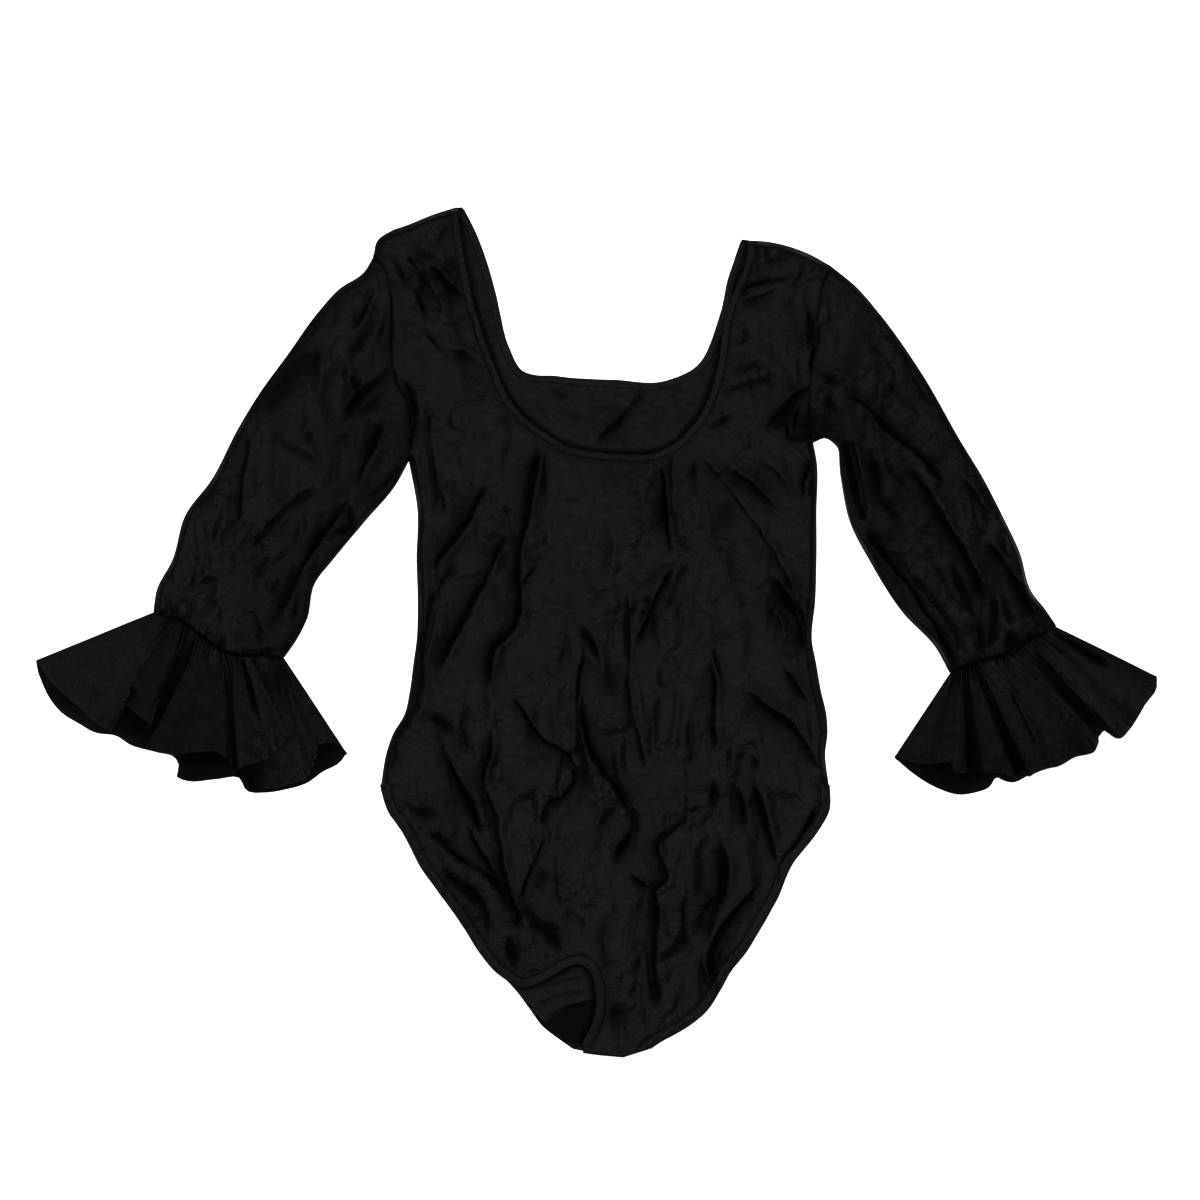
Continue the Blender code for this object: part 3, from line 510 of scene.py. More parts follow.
def relief(points, creases, hollows=()):
    """Height that the creases add at each point, and the painted shade of how far down in one it
    lies.
    """
    lift, valley = np.zeros(len(points)), np.zeros(len(points))
    bent = points + drift(points)
    for number, (knots, width, height, lean) in enumerate(creases):
        near, side, along, ends = beside(bent, knots, width)
        track = np.column_stack([along, np.full(len(along), 31.0 * number)])
        uneven = 1.0 + 0.5 * noise(track, 19, 41)
        wall = (WALL + WALL_GROWTH * height) * (1.0 + 0.45 * noise(track, 27, 42))
        spread = SLIT_WIDTH + SLIT_GROWTH * height * uneven
        slit = np.exp(-((side + 0.6 * wall * np.sign(lean)) / spread)**2) * ends
        lift[near] += height * uneven * ends * crease_profile(side, width, lean, wall)
        lift[near] -= 0.1 * height * slit
        # Painted shade: a dark line along the crease, and fainter shade over the slope that falls
        # into it
        low_side = 0.5 * (1.0 - np.tanh(side * np.sign(lean) / wall)) if lean else 0.75
        slope = np.exp(-(np.abs(side) / (0.95 * width))**1.5) * low_side * ends
        dark = np.maximum(slit, SLOPE_SHADE * slope) * uneven * min(height / 5.0, 1.0)
        valley[near] = np.maximum(valley[near], dark)
    for knots, width, depth in hollows:
        near, side, _, ends = beside(bent, knots, width)
        bowl = ends * np.exp(-(side / width)**2)
        lift[near] -= depth * bowl
        # Painted shade in a hollow, darker the lower it lies
        valley[near] = np.maximum(valley[near], HOLLOW_SHADE * max(depth, 0.0) * bowl)
    return lift, valley


def ridges(points, size, seed, gate):
    """Rounded ridges a size apart, strong in some places and missing in others."""
    waves = 1.0 - 2.2 * np.sqrt(noise(points, size, seed)**2 + 0.006)
    return waves * smooth(0.55 + 1.1 * noise(points, gate, seed + 50))


def ripples(points):
    """The low waves and small crumples of cloth that lies loose."""
    upright = points @ np.array(((0.98, 0.12), (-0.10, 0.42)))
    leaning = points @ np.array(((0.86, 0.28), (-0.42, 0.52)))
    across = points @ np.array(((0.50, -0.30), (0.25, 0.95)))
    low = 0.9 * noise(points, 75, 21) + 1.3 * noise(upright, 30, 22)
    folds = 1.8 * ridges(upright, 23, 23, 50) - 1.4 * ridges(leaning, 18, 24, 45)
    fine = (0.55 * ridges(upright, 8, 26, 30) + 0.45 * ridges(across, 8, 27, 26)
            - 0.65 * ridges(leaning, 12, 28, 34))
    return LOOSE_RISE + low + folds + fine + 0.08 * noise(points, 5, 25)


# Meshes

def in_scene(name, data):
    made = bpy.data.objects.new(name, data)
    bpy.context.scene.collection.objects.link(made)
    return made


def make_piece(name, points, faces, cuts, finish, valley, stands_for=(), slot="knit"):
    """An object from points in the tables' millimetres, with its cut, in metres, as UV map."""
    placed = (np.asarray(points) - (0.0, CROTCH_TO_MIDDLE, 0.0)) * MM
    placed[:, 2] = np.maximum(placed[:, 2], 0.0)
    mesh = bpy.data.meshes.new(name)
    mesh.from_pydata(placed.tolist(), [], [list(face) for face in faces])
    mesh.shade_smooth()
    mesh.set_sharp_from_angle(angle=math.radians(72))
    layer = mesh.uv_layers.new(name="cut")
    layer.data.foreach_set("uv", np.asarray(cuts, float).ravel())
    # The painted shade of the cloth's valleys, grooves and shadowed places, which darkens the
    # knit's colour
    shade = mesh.attributes.new("valley", "FLOAT", "POINT")
    shade.data.foreach_set("value", np.asarray(valley, float))
    mesh.materials.append(finish)
    made = in_scene(name, mesh)
    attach(made, "root")
    for node in stands_for:
        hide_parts(node)
    return made


def thinned(points, fixed, gap):
    """Points in order of weight, without those closer than a gap to one already kept."""
    every = np.vstack([fixed, points])
    tree = KDTree(len(every))
    for number, (x, y) in enumerate(every.tolist()):
        tree.insert((x, y, 0.0), number)
    tree.balance()
    dropped = np.zeros(len(every), bool)
    for number, (x, y) in enumerate(every.tolist()):
        if dropped[number]:
            continue
        for _, other, _ in tree.find_range((x, y, 0.0), gap):
            if other > number and other >= len(fixed):
                dropped[other] = True
    return every[~dropped][len(fixed):]


def hex_grid(loop, spacing):
    low, high = loop.min(axis=0), loop.max(axis=0)
    rows = np.arange(low[1], high[1], spacing * 0.866)
    return np.array([(x, y) for number, y in enumerate(rows)
                     for x in np.arange(low[0] + spacing * 0.5 * (number % 2), high[0], spacing)])


def crease_points(folds):
    """Points along the creases, closer together across them than the grid is."""
    rows = []
    for offset in (0.0, 1.15, -1.15, 2.5, -2.5):
        for fold in folds:
            rows.append(inner_line(evenly(fold[0], CREASE_STEP), offset))
    return undrifted(np.vstack(rows))


def filled(loop, points, gap):
    """Triangles that fill an outline, with the given points among their corners."""
    points = points[inside(points, loop)]
    points = thinned(points, loop, gap)
    made = delaunay_2d_cdt([Vector(point) for point in np.vstack([loop, points]).tolist()], [],
                           [list(range(len(loop)))], 1, 1e-5)
    plan = np.array([tuple(point) for point in made[0]])
    faces = np.array(made[2])
    a, b, c = plan[faces[:, 0]], plan[faces[:, 1]], plan[faces[:, 2]]
    area = ((b[:, 0] - a[:, 0]) * (c[:, 1] - a[:, 1]) - (b[:, 1] - a[:, 1]) * (c[:, 0] - a[:, 0]))
    faces[area < 0] = faces[area < 0][:, ::-1]
    return plan, faces


def sheet_piece(name, plan, faces, top, wall, finish, valley, **record):
    """A layer of cloth over a plan, from the height of its top down."""
    count = len(plan)
    points = np.vstack([np.column_stack([plan, top - wall]), np.column_stack([plan, top])])
    sides = np.vstack([faces[:, (0, 1)], faces[:, (1, 2)], faces[:, (2, 0)]])
    keys = set(map(tuple, sides.tolist()))
    rim = [(a, b) for a, b in sides.tolist() if (b, a) not in keys]
    walls = [(a, b, b + count, a + count) for a, b in rim]
    shell = faces[:, ::-1].tolist() + (faces + count).tolist() + walls
    flat = np.vstack([plan, plan]) * MM
    cuts = flat[[corner for face in shell for corner in face]]
    return make_piece(name, points, shell, cuts, finish, np.tile(valley, 2), **record)


def tube_piece(name, middle, half, cut, finish, valley, **record):
    """A flattened tube of cloth from the rings of its wall's middle. half is half the wall's
    thickness along its rows, and cut holds how far round and along each point lies."""
    along = np.gradient(middle, axis=0)
    around = np.roll(middle, -1, axis=1) - np.roll(middle, 1, axis=1)
    out = np.cross(around, along)
    out /= np.maximum(np.linalg.norm(out, axis=2), 1e-9)[:, :, None]
    rows, columns = middle.shape[:2]
    highest = middle[:, :, 2].argmax(axis=1)
    if out[np.arange(rows), highest, 2].mean() < 0:
        out = -out
    half = np.asarray(half).reshape(-1, 1, 1)
    outer, inner = middle + out * half, middle - out * half
    count = rows * columns
    j, k = np.meshgrid(np.arange(rows - 1), np.arange(columns), indexing="ij")
    j, k = j.ravel(), k.ravel()
    right = (k + 1) % columns
    a, b = j * columns + k, j * columns + right
    c, d = (j + 1) * columns + right, (j + 1) * columns + k
    cut_a, cut_b, cut_c, cut_d = cut[j, k], cut[j, k + 1], cut[j + 1, k + 1], cut[j + 1, k]
    k = np.arange(columns)
    right = (k + 1) % columns
    last = (rows - 1) * columns
    faces = np.vstack([
        np.column_stack([a, b, c, d]), np.column_stack([d, c, b, a]) + count,
        np.column_stack([k + count, right + count, right, k]),
        np.column_stack([last + k, last + right, last + right + count, last + k + count])])
    cuts = np.vstack([
        np.stack([cut_a, cut_b, cut_c, cut_d], axis=1),
        np.stack([cut_d, cut_c, cut_b, cut_a], axis=1),
        np.stack([cut[0, :-1], cut[0, 1:], cut[0, 1:], cut[0, :-1]], axis=1),
        np.stack([cut[-1, :-1], cut[-1, 1:], cut[-1, 1:], cut[-1, :-1]], axis=1)])
    points = np.vstack([outer.reshape(-1, 3), inner.reshape(-1, 3)])
    turn = np.cross(points[1] - points[0], points[columns + 1] - points[0])
    if np.dot(turn, points[0] - points[count]) < 0:
        faces, cuts = faces[:, ::-1], cuts[:, ::-1]
    return make_piece(name, points, faces.tolist(), cuts.reshape(-1, 2), finish,
                      np.tile(valley.ravel(), 2), **record)


# Body

def side_knots(sections, column, peek=0.0):
    """The right or left edge of the body through its sections, from the top down."""
    sign = 1.0 if column == 1 else -1.0
    knots = []
    for row in sections:
        share = np.clip((WAIST - row[0]) / (WAIST - LEG_TOP), 0.0, 1.0)
        knots.append((row[column] + sign * peek * np.sin(np.pi * share), row[0]))
    return knots


def join(*lines):
    """One closed outline from edges that follow each other, without their shared ends."""
    return np.concatenate([line[:-1] for line in lines])


def body_edges(step, peek):
    """The edges that the back and the front share, from the neck to the leg openings."""
    return {
        "right shoulder": evenly(RIGHT_SHOULDER, step),
        "right armhole": evenly(RIGHT_ARMHOLE, step),
        "right side": evenly([RIGHT_ARMHOLE[-1]] + side_knots(SIDE_SECTIONS, 1, peek)[1:], step),
        "left side": evenly([LEFT_ARMHOLE[-1]] + side_knots(SIDE_SECTIONS, 2, peek), step)[::-1],
        "left armhole": evenly(LEFT_ARMHOLE, step)[::-1],
        "left shoulder": evenly(LEFT_SHOULDER, step)[::-1]}


EDGES = body_edges(EDGE_STEP, HIP_PEEK)
UPPER_LEG = [knot for knot in side_knots(LEG_SECTIONS, 1) if knot[1] > RAISED_LEG_EDGE[0][1]]
RIGHT_LEG = evenly(UPPER_LEG + list(RAISED_LEG_EDGE), EDGE_STEP)
LEFT_LEG = evenly(side_knots(LEG_SECTIONS, 2), EDGE_STEP)[::-1]
NECK = evenly(FRONT_NECK, EDGE_STEP)[::-1]
ALL_CREASES = BODY_CREASES + SLEEVE_CREASES


def loose_cloth(points):
    """Height of the loose upper layer's folds over its lowest place, and the painted shade of its
    valleys.
    """
    folds, valley = relief(points, ALL_CREASES, HOLLOWS + PRESS_LINES)
    return folds + ripples(points), valley


def held_up(lift):
    """The same height where it is above 1, and easing out to 0 further down."""
    return np.where(lift > 1.0, lift, np.exp(np.minimum(lift, 1.0) - 1.0))


def front_top(points):
    """Height of the front's top, and the painted shade of its valleys and seam grooves."""
    sides = np.min([np.abs(nearest(points, EDGES[name][::4])[0])
                    for name in ("right side", "left side", "right shoulder", "left shoulder")],
                   axis=0)
    folds, valley = loose_cloth(points)
    risen = smooth(sides / PUFF_EDGE)
    lift = held_up(PUFF + folds) * risen
    lift += 0.35 * np.abs(folds) * risen * (1 - risen)
    raised = evenly(RAISED_LEG_EDGE, 6.0)
    leg = LEG_EDGE_LIFT * np.exp(-(nearest(points, raised)[0] / LEG_EDGE_REACH)**2)
    top = FRONT_TOP + np.maximum(lift, leg)
    top = SEAM_TOP + (top - SEAM_TOP) * round_over(sides / SEAM_TURN)
    arms = np.min([np.abs(nearest(points, EDGES[name][::3])[0])
                   for name in ("right armhole", "left armhole")], axis=0)
    groove = np.exp(-(arms / SEAM_WIDTH)**2) * (0.55 + 0.35 * noise(points, 30, 43))
    for edge, width in ((NECK, NECK_BAND), (RIGHT_LEG, LEG_BAND), (LEFT_LEG, LEG_BAND)):
        inward = np.abs(nearest(points, edge[::2])[0]) - width - BAND_GAP
        groove = np.maximum(groove, 0.3 * np.exp(-(inward / SEAM_WIDTH)**2))
    top = np.maximum(top - SEAM_DIP * groove, SEAM_TOP)
    # Painted shade in the valleys and the seam grooves
    return top, np.maximum(valley, SEAM_SHADE * groove)


def back_top(points):
    """Height of the back's top, and the painted shade of its valleys and along the front's edges.
    Its wrinkles rise only where it shows.
    """
    neck = inside(points, np.vstack([evenly(BACK_NECK, 8.0), evenly(FRONT_NECK, 8.0)[::-1]]))
    leg_side = evenly(side_knots(LEG_SECTIONS, 1)[6:], 6.0)
    shown = neck | inside(points, np.vstack([evenly(RAISED_LEG_EDGE, 6.0), leg_side[::-1]]))
    cover = np.min([np.abs(nearest(points, evenly(FRONT_NECK, 8.0))[0]),
                    np.abs(nearest(points, evenly(RAISED_LEG_EDGE, 6.0))[0])], axis=0)
    folds, valley = relief(points, BACK_CREASES)
    free = np.where(shown, smooth(cover / 9.0), 0.0)
    waves = folds + 0.5 * ripples(points) + 0.25
    # Painted shadow that the front's neck and raised leg edges cast on the back
    painted_edge_shadow = 0.95 * np.exp(-(cover / UNDER_SHADE)**2)
    return BACK_TOP + np.maximum(waves, 0.0) * free, np.maximum(valley, painted_edge_shadow) * shown


# Section of a turned band: share of its width in from the edge, height over the cloth
BAND_SECTION = knots_from("""
.02 -1.35, -.07 -.9, -.11 -.25, -.08 .35, .02 .72, .14 .88, .24 .86, .28 .66, .32 .88, .5 .98,
.68 .88, .72 .66, .76 .84, .9 .66, .99 .3, 1.03 -.2, .9 -.45, .5 -.45""")
STITCH_PLACES = (0.28, 0.72)


def band_piece(name, edge, width, top_at, finish, seed, flat=1.0, **record):
    """A band turned over an edge, with the rows on which its stitches lie."""
    length = chord_places(edge)
    along = np.column_stack([length, np.zeros(len(edge))])
    pucker = 0.16 * noise(along, 5.0, seed) + 0.10 * noise(along, 11.0, seed + 1)
    sway = 0.35 * noise(along, 16.0, seed + 2)
    rings = []
    for share, height in BAND_SECTION:
        spots = inner_line(edge, share * width + sway)
        top = top_at(inner_line(edge, np.clip(share, 0.03, 1.0) * width))[0]
        level = top + flat * height * (1.0 + pucker * (height > 0))
        rings.append(np.column_stack([spots, np.maximum(level, 0.3)]))
    middle = np.array(rings).transpose(1, 0, 2)
    rows, columns = middle.shape[:2]
    faces = []
    for j in range(rows - 1):
        for k in range(columns):
            right = (k + 1) % columns
            faces.append((j * columns + k, (j + 1) * columns + k, (j + 1) * columns + right,
                          j * columns + right))
    faces += [tuple(range(columns)), tuple((rows - 1) * columns + k for k in range(columns))[::-1]]
    round_places = np.array([share * width for share, _ in BAND_SECTION])
    flat_cut = np.column_stack([np.tile(round_places, rows), np.repeat(length, columns)]) * MM
    points = middle.reshape(-1, 3)
    a, b, c = (points[corner] for corner in faces[columns * 2 + 4][:3])
    if np.cross(b - a, c - a)[2] < 0:
        faces = [face[::-1] for face in faces]
    cuts = flat_cut[[corner for face in faces for corner in face]]
    # Painted shade along the stitch grooves and the band's inner edge
    valley = np.tile([0.5 if share in STITCH_PLACES or share > 0.98 else 0.0
                      for share, _ in BAND_SECTION], rows)
    made = make_piece(name, points, faces, cuts, finish, valley, slot="band", **record)
    places = [[share for share, _ in BAND_SECTION].index(place) for place in STITCH_PLACES]
    return made, [middle[2:-2, k] + (0, 0, 0.14) for k in places]


def sleeve_rings(outer_knots, inner_knots, armhole_knots, cuff_knots):
    """The wall's middle of a flattened sleeve, ring by ring, with its cut and the painted shade of
    its valleys.
    """
    down = np.linspace(0.0, 1.0, SLEEVE_ROWS + 1)
    outer, inner = through(outer_knots, down), through(inner_knots, down)
    every = np.linspace(0.0, 1.0, 61)
    top, end = through(armhole_knots, every), through(cuff_knots, every)
    outer[0], inner[0], outer[-1], inner[-1] = top[0], top[-1], end[0], end[-1]
    length = chord_places(outer)
    upper = np.sin(np.linspace(-0.5, 0.5, SLEEVE_COLUMNS + 1) * np.pi * 0.86)
    upper = 0.5 + 0.5 * upper / upper[-1]
    lying = np.linspace(1.0, 0.0, SLEEVE_COLUMNS // 4 + 1)[1:-1]

    def plan_at(row, share):
        t, s = down[row], share[:, None]
        along = (1 - s) * outer[row] + s * inner[row]
        start = np.stack([np.interp(share, every, top[:, k]) for k in (0, 1)], axis=1)
        stop = np.stack([np.interp(share, every, end[:, k]) for k in (0, 1)], axis=1)
        corners = ((1 - t) * ((1 - s) * top[0] + s * top[-1])
                   + t * ((1 - s) * end[0] + s * end[-1]))
        return along + (1 - t) * start + t * stop - corners

    spots = np.array([plan_at(row, upper) for row in range(len(down))])
    flat = spots.reshape(-1, 2)
    folds, valley, unrest = (sizes.reshape(len(down), -1)
                             for sizes in (*loose_cloth(flat), noise(flat, 20, 31)))
    crown = 1.0 - np.abs(2.0 * upper - 1.0)**CROWN_POWER
    middle, cut, valleys = [], [], []
    for row, t in enumerate(down):
        width = np.linalg.norm(outer[row] - inner[row])
        loft = PUFF + (SLEEVE_LOFT - PUFF) * smooth(t / 0.15)
        cuff = smooth((t - 0.7) / 0.3)
        cuff_lift = EDGE_LIFT + (CUFF_LOFT - EDGE_LIFT) * crown * 0.5
        base = (1 - cuff) * (EDGE_LIFT + (loft - EDGE_LIFT) * crown) + cuff * cuff_lift
        to_cuff, to_arm = (1 - t) * length[-1], t * length[-1]
        base = base + CUFF_BULGE * np.exp(-((to_cuff - 15.0) / 9.0)**2) * crown
        lift = held_up(base + folds[row] * smooth(crown * 2.0))
        gathers = 0.6 * np.exp(-to_cuff / 7.0) * np.sin(upper * 120.0 + 9.0 * unrest[row])
        height = UPPER_LAYER + lift + gathers * smooth(crown * 2.0)
        groove = (np.maximum(0.6 * np.exp(-(to_arm / SEAM_WIDTH)**2),
                             np.exp(-(to_cuff / SEAM_WIDTH)**2)) * (0.85 + 0.3 * unrest[row]))
        height = np.maximum(height - SEAM_DIP * groove, 1.2)
        edge = np.minimum(upper, 1.0 - upper) * width
        height = 1.1 + (height - 1.1) * round_over(edge / 4.0)
        low = plan_at(row, lying)
        low_edge = np.minimum(lying, 1.0 - lying) * width
        low_height = 1.1 + (CLOTH / 2 - 1.1) * round_over(low_edge / 3.0)
        middle.append(np.vstack([np.column_stack([spots[row], height]),
                                 np.column_stack([low, low_height])]))
        shares = np.concatenate([upper, 2.0 - lying, [2.0]])
        cut.append(np.column_stack([shares * width, np.full(len(shares), length[row])]) * MM)
        # Painted shade in the upper layer's valleys and seam grooves; none on the lower layer
        valleys.append(np.append(np.maximum(valley[row], SEAM_SHADE * groove),
                                 np.zeros(len(lying))))
    return np.array(middle), np.array(cut), np.array(valleys)


def ruffle_rings(cuff_knots, hem_knots, folds, pits, seed):
    """The wall's middle of a ruffle from the cuff to the hem, through its upper folds, with its cut
    and its painted shade.
    """
    every = np.linspace(0.0, 1.0, 61)
    seam = shifted(through(cuff_knots, every), np.mean(hem_knots, axis=0), 0.45)
    hem = through(hem_knots, every)
    share, across, up, rise = np.array(folds).T
    legs = chord_places(np.column_stack([across, up, rise]))
    finer = np.concatenate([np.linspace(a, b, FOLD_POINTS, endpoint=False)
                            for a, b in zip(legs, legs[1:])] + [legs[-1:]])
    turns = np.linspace(0.0, np.pi, 7)[1:-1]
    middle, cut, valleys = [], [], []
    for r in np.linspace(0.0, 1.0, RUFFLE_ROWS + 1):
        def between(at, far):
            near = np.stack([np.interp(at, every, seam[:, k]) for k in (0, 1)], axis=1)
            return near + r * (far - near)
        edge = EDGE_INSET / np.linalg.norm(between(np.array([0.0]), hem[:1])
                                           - between(np.array([1.0]), hem[-1:]))
        plan = between(np.clip(share, edge, 1.0 - edge), np.column_stack([across, up]))
        cuff_lift = EDGE_LIFT + (CUFF_LOFT - EDGE_LIFT) * (1.0 - np.abs(2 * share - 1)**2.5) * 0.5
        lift = cuff_lift * (1.0 - r) + rise * r**RUFFLE_RISE
        knots = np.column_stack([plan, UPPER_LAYER + lift])
        ends = knots[0, :2] - knots[2, :2], knots[-1, :2] - knots[-3, :2]
        upper = curve_at(knots, legs, finer)
        count = len(finer)
        strip = np.column_stack([finer, np.full(count, r * RUFFLE_DEPTH)])
        spread = np.linspace(0.0, 1.0, count)
        gathers = 0.75 * np.exp(-r / 0.16) * np.sin(spread * 190.0 + 5.0 * noise(strip, 30, seed))
        gathers += 0.5 * r * noise(strip, 17, seed + 1) + 0.35 * noise(strip, 9, seed + 2)
        hem_waves = np.sin(finer * 0.75 + 3 * noise(strip, 25, seed + 3))
        gathers += 0.35 * smooth((r - 0.8) / 0.2) * hem_waves
        free = smooth(np.minimum(spread, 1 - spread) / 0.03)
        groove = np.exp(-(r * 100.0 / SEAM_WIDTH)**2)
        upper[:, 2] += (gathers - SEAM_DIP * groove) * free
        place, gap = np.interp(finer, legs, share), np.zeros(count)
        # Each pit dips the cloth and puts painted shade in it
        for spot, width, start, stop, depth in pits:
            here = smooth((r - start) / 0.12) * smooth((stop - r) / 0.12)
            bowl = here * np.exp(-((place - spot) / width)**2)
            upper[:, 2] -= depth * bowl
            gap = np.maximum(gap, bowl)
        upper[:, 2] = np.maximum(upper[:, 2], 1.6)
        low_shares = np.linspace(1.0 - edge, edge, UNDER_POINTS + 1)
        far = np.stack([np.interp(low_shares, every, hem[:, k]) for k in (0, 1)], axis=1)
        low_plan = between(low_shares, far)
        wave = 0.5 * r * (1 + np.sin(low_shares * 60.0 + seed))
        wave = wave * (1 + noise(low_plan, 30, seed + 4))
        low_free = smooth(np.minimum(low_shares, 1 - low_shares) / 0.06)
        low = np.column_stack([low_plan, CLOTH / 2 + 0.7 * wave * low_free])
        ring = np.vstack([upper, turned(upper[-1], low[0], ends[1], turns), low,
                          turned(low[-1], upper[0], ends[0], turns)])
        middle.append(ring)
        round_places = chord_places(np.vstack([ring, ring[:1]]))
        cut.append(np.column_stack([round_places, np.full(len(round_places), r * RUFFLE_CUT)]) * MM)
        # Painted shade in the low places between the upper folds, in the pits and the seam groove,
        # and over the lower layer, fading toward the hem
        painted_fold_shade = smooth((4.6 - (upper[:, 2] - UPPER_LAYER)) / 3.6) * smooth(r / 0.25)
        painted_fold_shade = painted_fold_shade * smooth((np.minimum(spread, 1 - spread) - 0.03) / 0.05)
        shade = 0.95 - 0.62 * smooth((r - 0.82) / 0.16)
        valleys.append(np.append(np.maximum(np.maximum(painted_fold_shade, gap), SEAM_SHADE * groove),
                                 np.full(len(ring) - count, shade)))
    return np.array(middle), np.array(cut), np.array(valleys)


def turned(start, stop, outward, turns):
    """Points of the turned edge between two layers."""
    outward = outward / np.linalg.norm(outward)
    middle, half = (start + stop) / 2, (start - stop) / 2
    reach = (EDGE_INSET - 0.6) * 0.6
    return np.array([middle + half * math.cos(turn)
                     + np.array([outward[0], outward[1], 0.0]) * reach * math.sin(turn)
                     for turn in turns])


# Finishes

def new_node(tree, kind, settings=None, sockets=None):
    """A node with its settings, and each input set to a value or linked to a socket."""
    made = tree.nodes.new(kind)
    for name, value in (settings or {}).items():
        setattr(made, name, value)
    for place, value in (sockets or {}).items():
        if isinstance(value, bpy.types.NodeSocket):
            tree.links.new(value, made.inputs[place])
        else:
            made.inputs[place].default_value = value
    return made


class Value:
    """A shader value that takes part in sums: each one adds its Math node."""

    def __init__(self, finish, socket):
        self.finish, self.socket = finish, socket

    def _sum(self, operation, first, second):
        return self.finish.node("ShaderNodeMath", {"operation": operation}, {0: first, 1: second})

    def __add__(self, other):
        return self._sum("ADD", self, other)

    def __sub__(self, other):
        return self._sum("SUBTRACT", self, other)

    def __mul__(self, other):
        return self._sum("MULTIPLY", self, other)

    def wave(self):
        return self._sum("SINE", self, 0.0)

    def size(self):
        return self._sum("ABSOLUTE", self, 0.0)

    def kept(self):
        """The value held between 0 and 1."""
        return self._sum("MAXIMUM", self._sum("MINIMUM", self, 1.0), 0.0)


class Finish:
    """A material with a Principled shader and the nodes that feed it."""

    def __init__(self, name, **constants):
        self.made = bpy.data.materials.new(name)
        self.made.use_nodes = True
        self.tree = self.made.node_tree
        self.shader = self.tree.nodes["Principled BSDF"]
        for socket, value in constants.items():
            self.shader.inputs[socket.replace("_", " ")].default_value = value

    def node(self, kind, settings=None, sockets=None, out=0):
        plain = {place: getattr(value, "socket", value)
                 for place, value in (sockets or {}).items()}
        return Value(self, new_node(self.tree, kind, settings, plain).outputs[out])

    def feed(self, name, value):
        self.tree.links.new(value.socket, self.shader.inputs[name])

    def dye(self, share, low, high):
        """Base colour from low to high, by a share from 0 to 1."""
        self.feed("Base Color", self.node("ShaderNodeMix", {"data_type": "RGBA"},
                                          {0: share, 6: (*low, 1.0), 7: (*high, 1.0)}, out=2))


def grain(finish, scale, detail=3.0, roughness=0.55):
    place = finish.node("ShaderNodeTexCoord", out="Object")
    return finish.node("ShaderNodeTexNoise", None,
                       {"Vector": place, "Scale": scale, "Detail": detail,
                        "Roughness": roughness}, out="Fac")


def knit(name, dark, light, wale, course, roughness, relief_depth, specular):
    """Fine knit: ribs of small loops along the cut, crumpled, its colour uneven at random and
    darkened by painted shade in the valleys.
    """
    finish = Finish(name, Specular_IOR_Level=specular, Specular_Tint=(1.0, 0.93, 0.955, 1.0))
    cut = finish.node("ShaderNodeUVMap", {"uv_map": "cut"})
    split = finish.node("ShaderNodeSeparateXYZ", None, {0: cut})
    across, along = split, Value(finish, split.socket.node.outputs[1])
    rib = (across * (math.pi / wale)).wave().size()
    loops = ((along + rib * (course * 0.5)) * (2 * math.pi / course)).wave()
    blotch, fine = grain(finish, 14.0), grain(finish, 520.0, 2.0)
    mottle = grain(finish, 95.0, 4.0, 0.62)
    crumple = (mottle - 0.5).size()
    # Painted shade of the valleys, kept on the mesh: it darkens the colour, and the cloth is
    # rougher there
    painted_shade = finish.node("ShaderNodeAttribute", {"attribute_name": "valley"}, out="Fac")
    finish.dye((blotch + mottle * 0.9 + fine * 0.7 - 0.72 - painted_shade * 1.5).kept(), dark, light)
    finish.feed("Roughness",
                (fine * 0.18 + blotch * 0.1 + painted_shade * 0.62 + (roughness - 0.14)).kept())
    height = rib * 0.55 + loops * 0.2 + fine * 5.5 + crumple * 15.0
    bump = finish.node("ShaderNodeBump", None,
                       {"Strength": 0.8, "Distance": relief_depth, "Height": height})
    finish.feed("Normal", bump)
    return finish.made


# Each knit runs from its dark colour, reached in painted shade and in darker random spots, to its
# light one
KNIT = knit("black knit", (0.0006, 0.0005, 0.0005), (0.0084, 0.0077, 0.0081), 0.00052, 0.00046,
            0.35, 0.00010, 0.11)
BAND = knit("band knit", (0.0030, 0.0028, 0.0029), (0.0115, 0.0108, 0.0112), 0.00052, 0.00046,
            0.38, 0.00010, 0.13)
LINING = knit("lining knit", (0.0030, 0.0033, 0.0045), (0.0088, 0.0096, 0.0125), 0.0008, 0.0007,
              0.62, 0.00014, 0.03)


def plain_finish(name, colour, roughness, scale, spread):
    """A colour that darkens here and there, down by its spread."""
    finish = Finish(name, Specular_IOR_Level=0.3)
    mark = grain(finish, scale)
    low = tuple(channel * (1 - spread) for channel in colour)
    finish.dye(mark, low, colour)
    finish.feed("Roughness", (mark * 0.1 + (roughness - 0.05)).kept())
    return finish.made


THREAD = plain_finish("black thread", (0.014, 0.0135, 0.0135), 0.42, 900.0, 0.5)


# Stitches

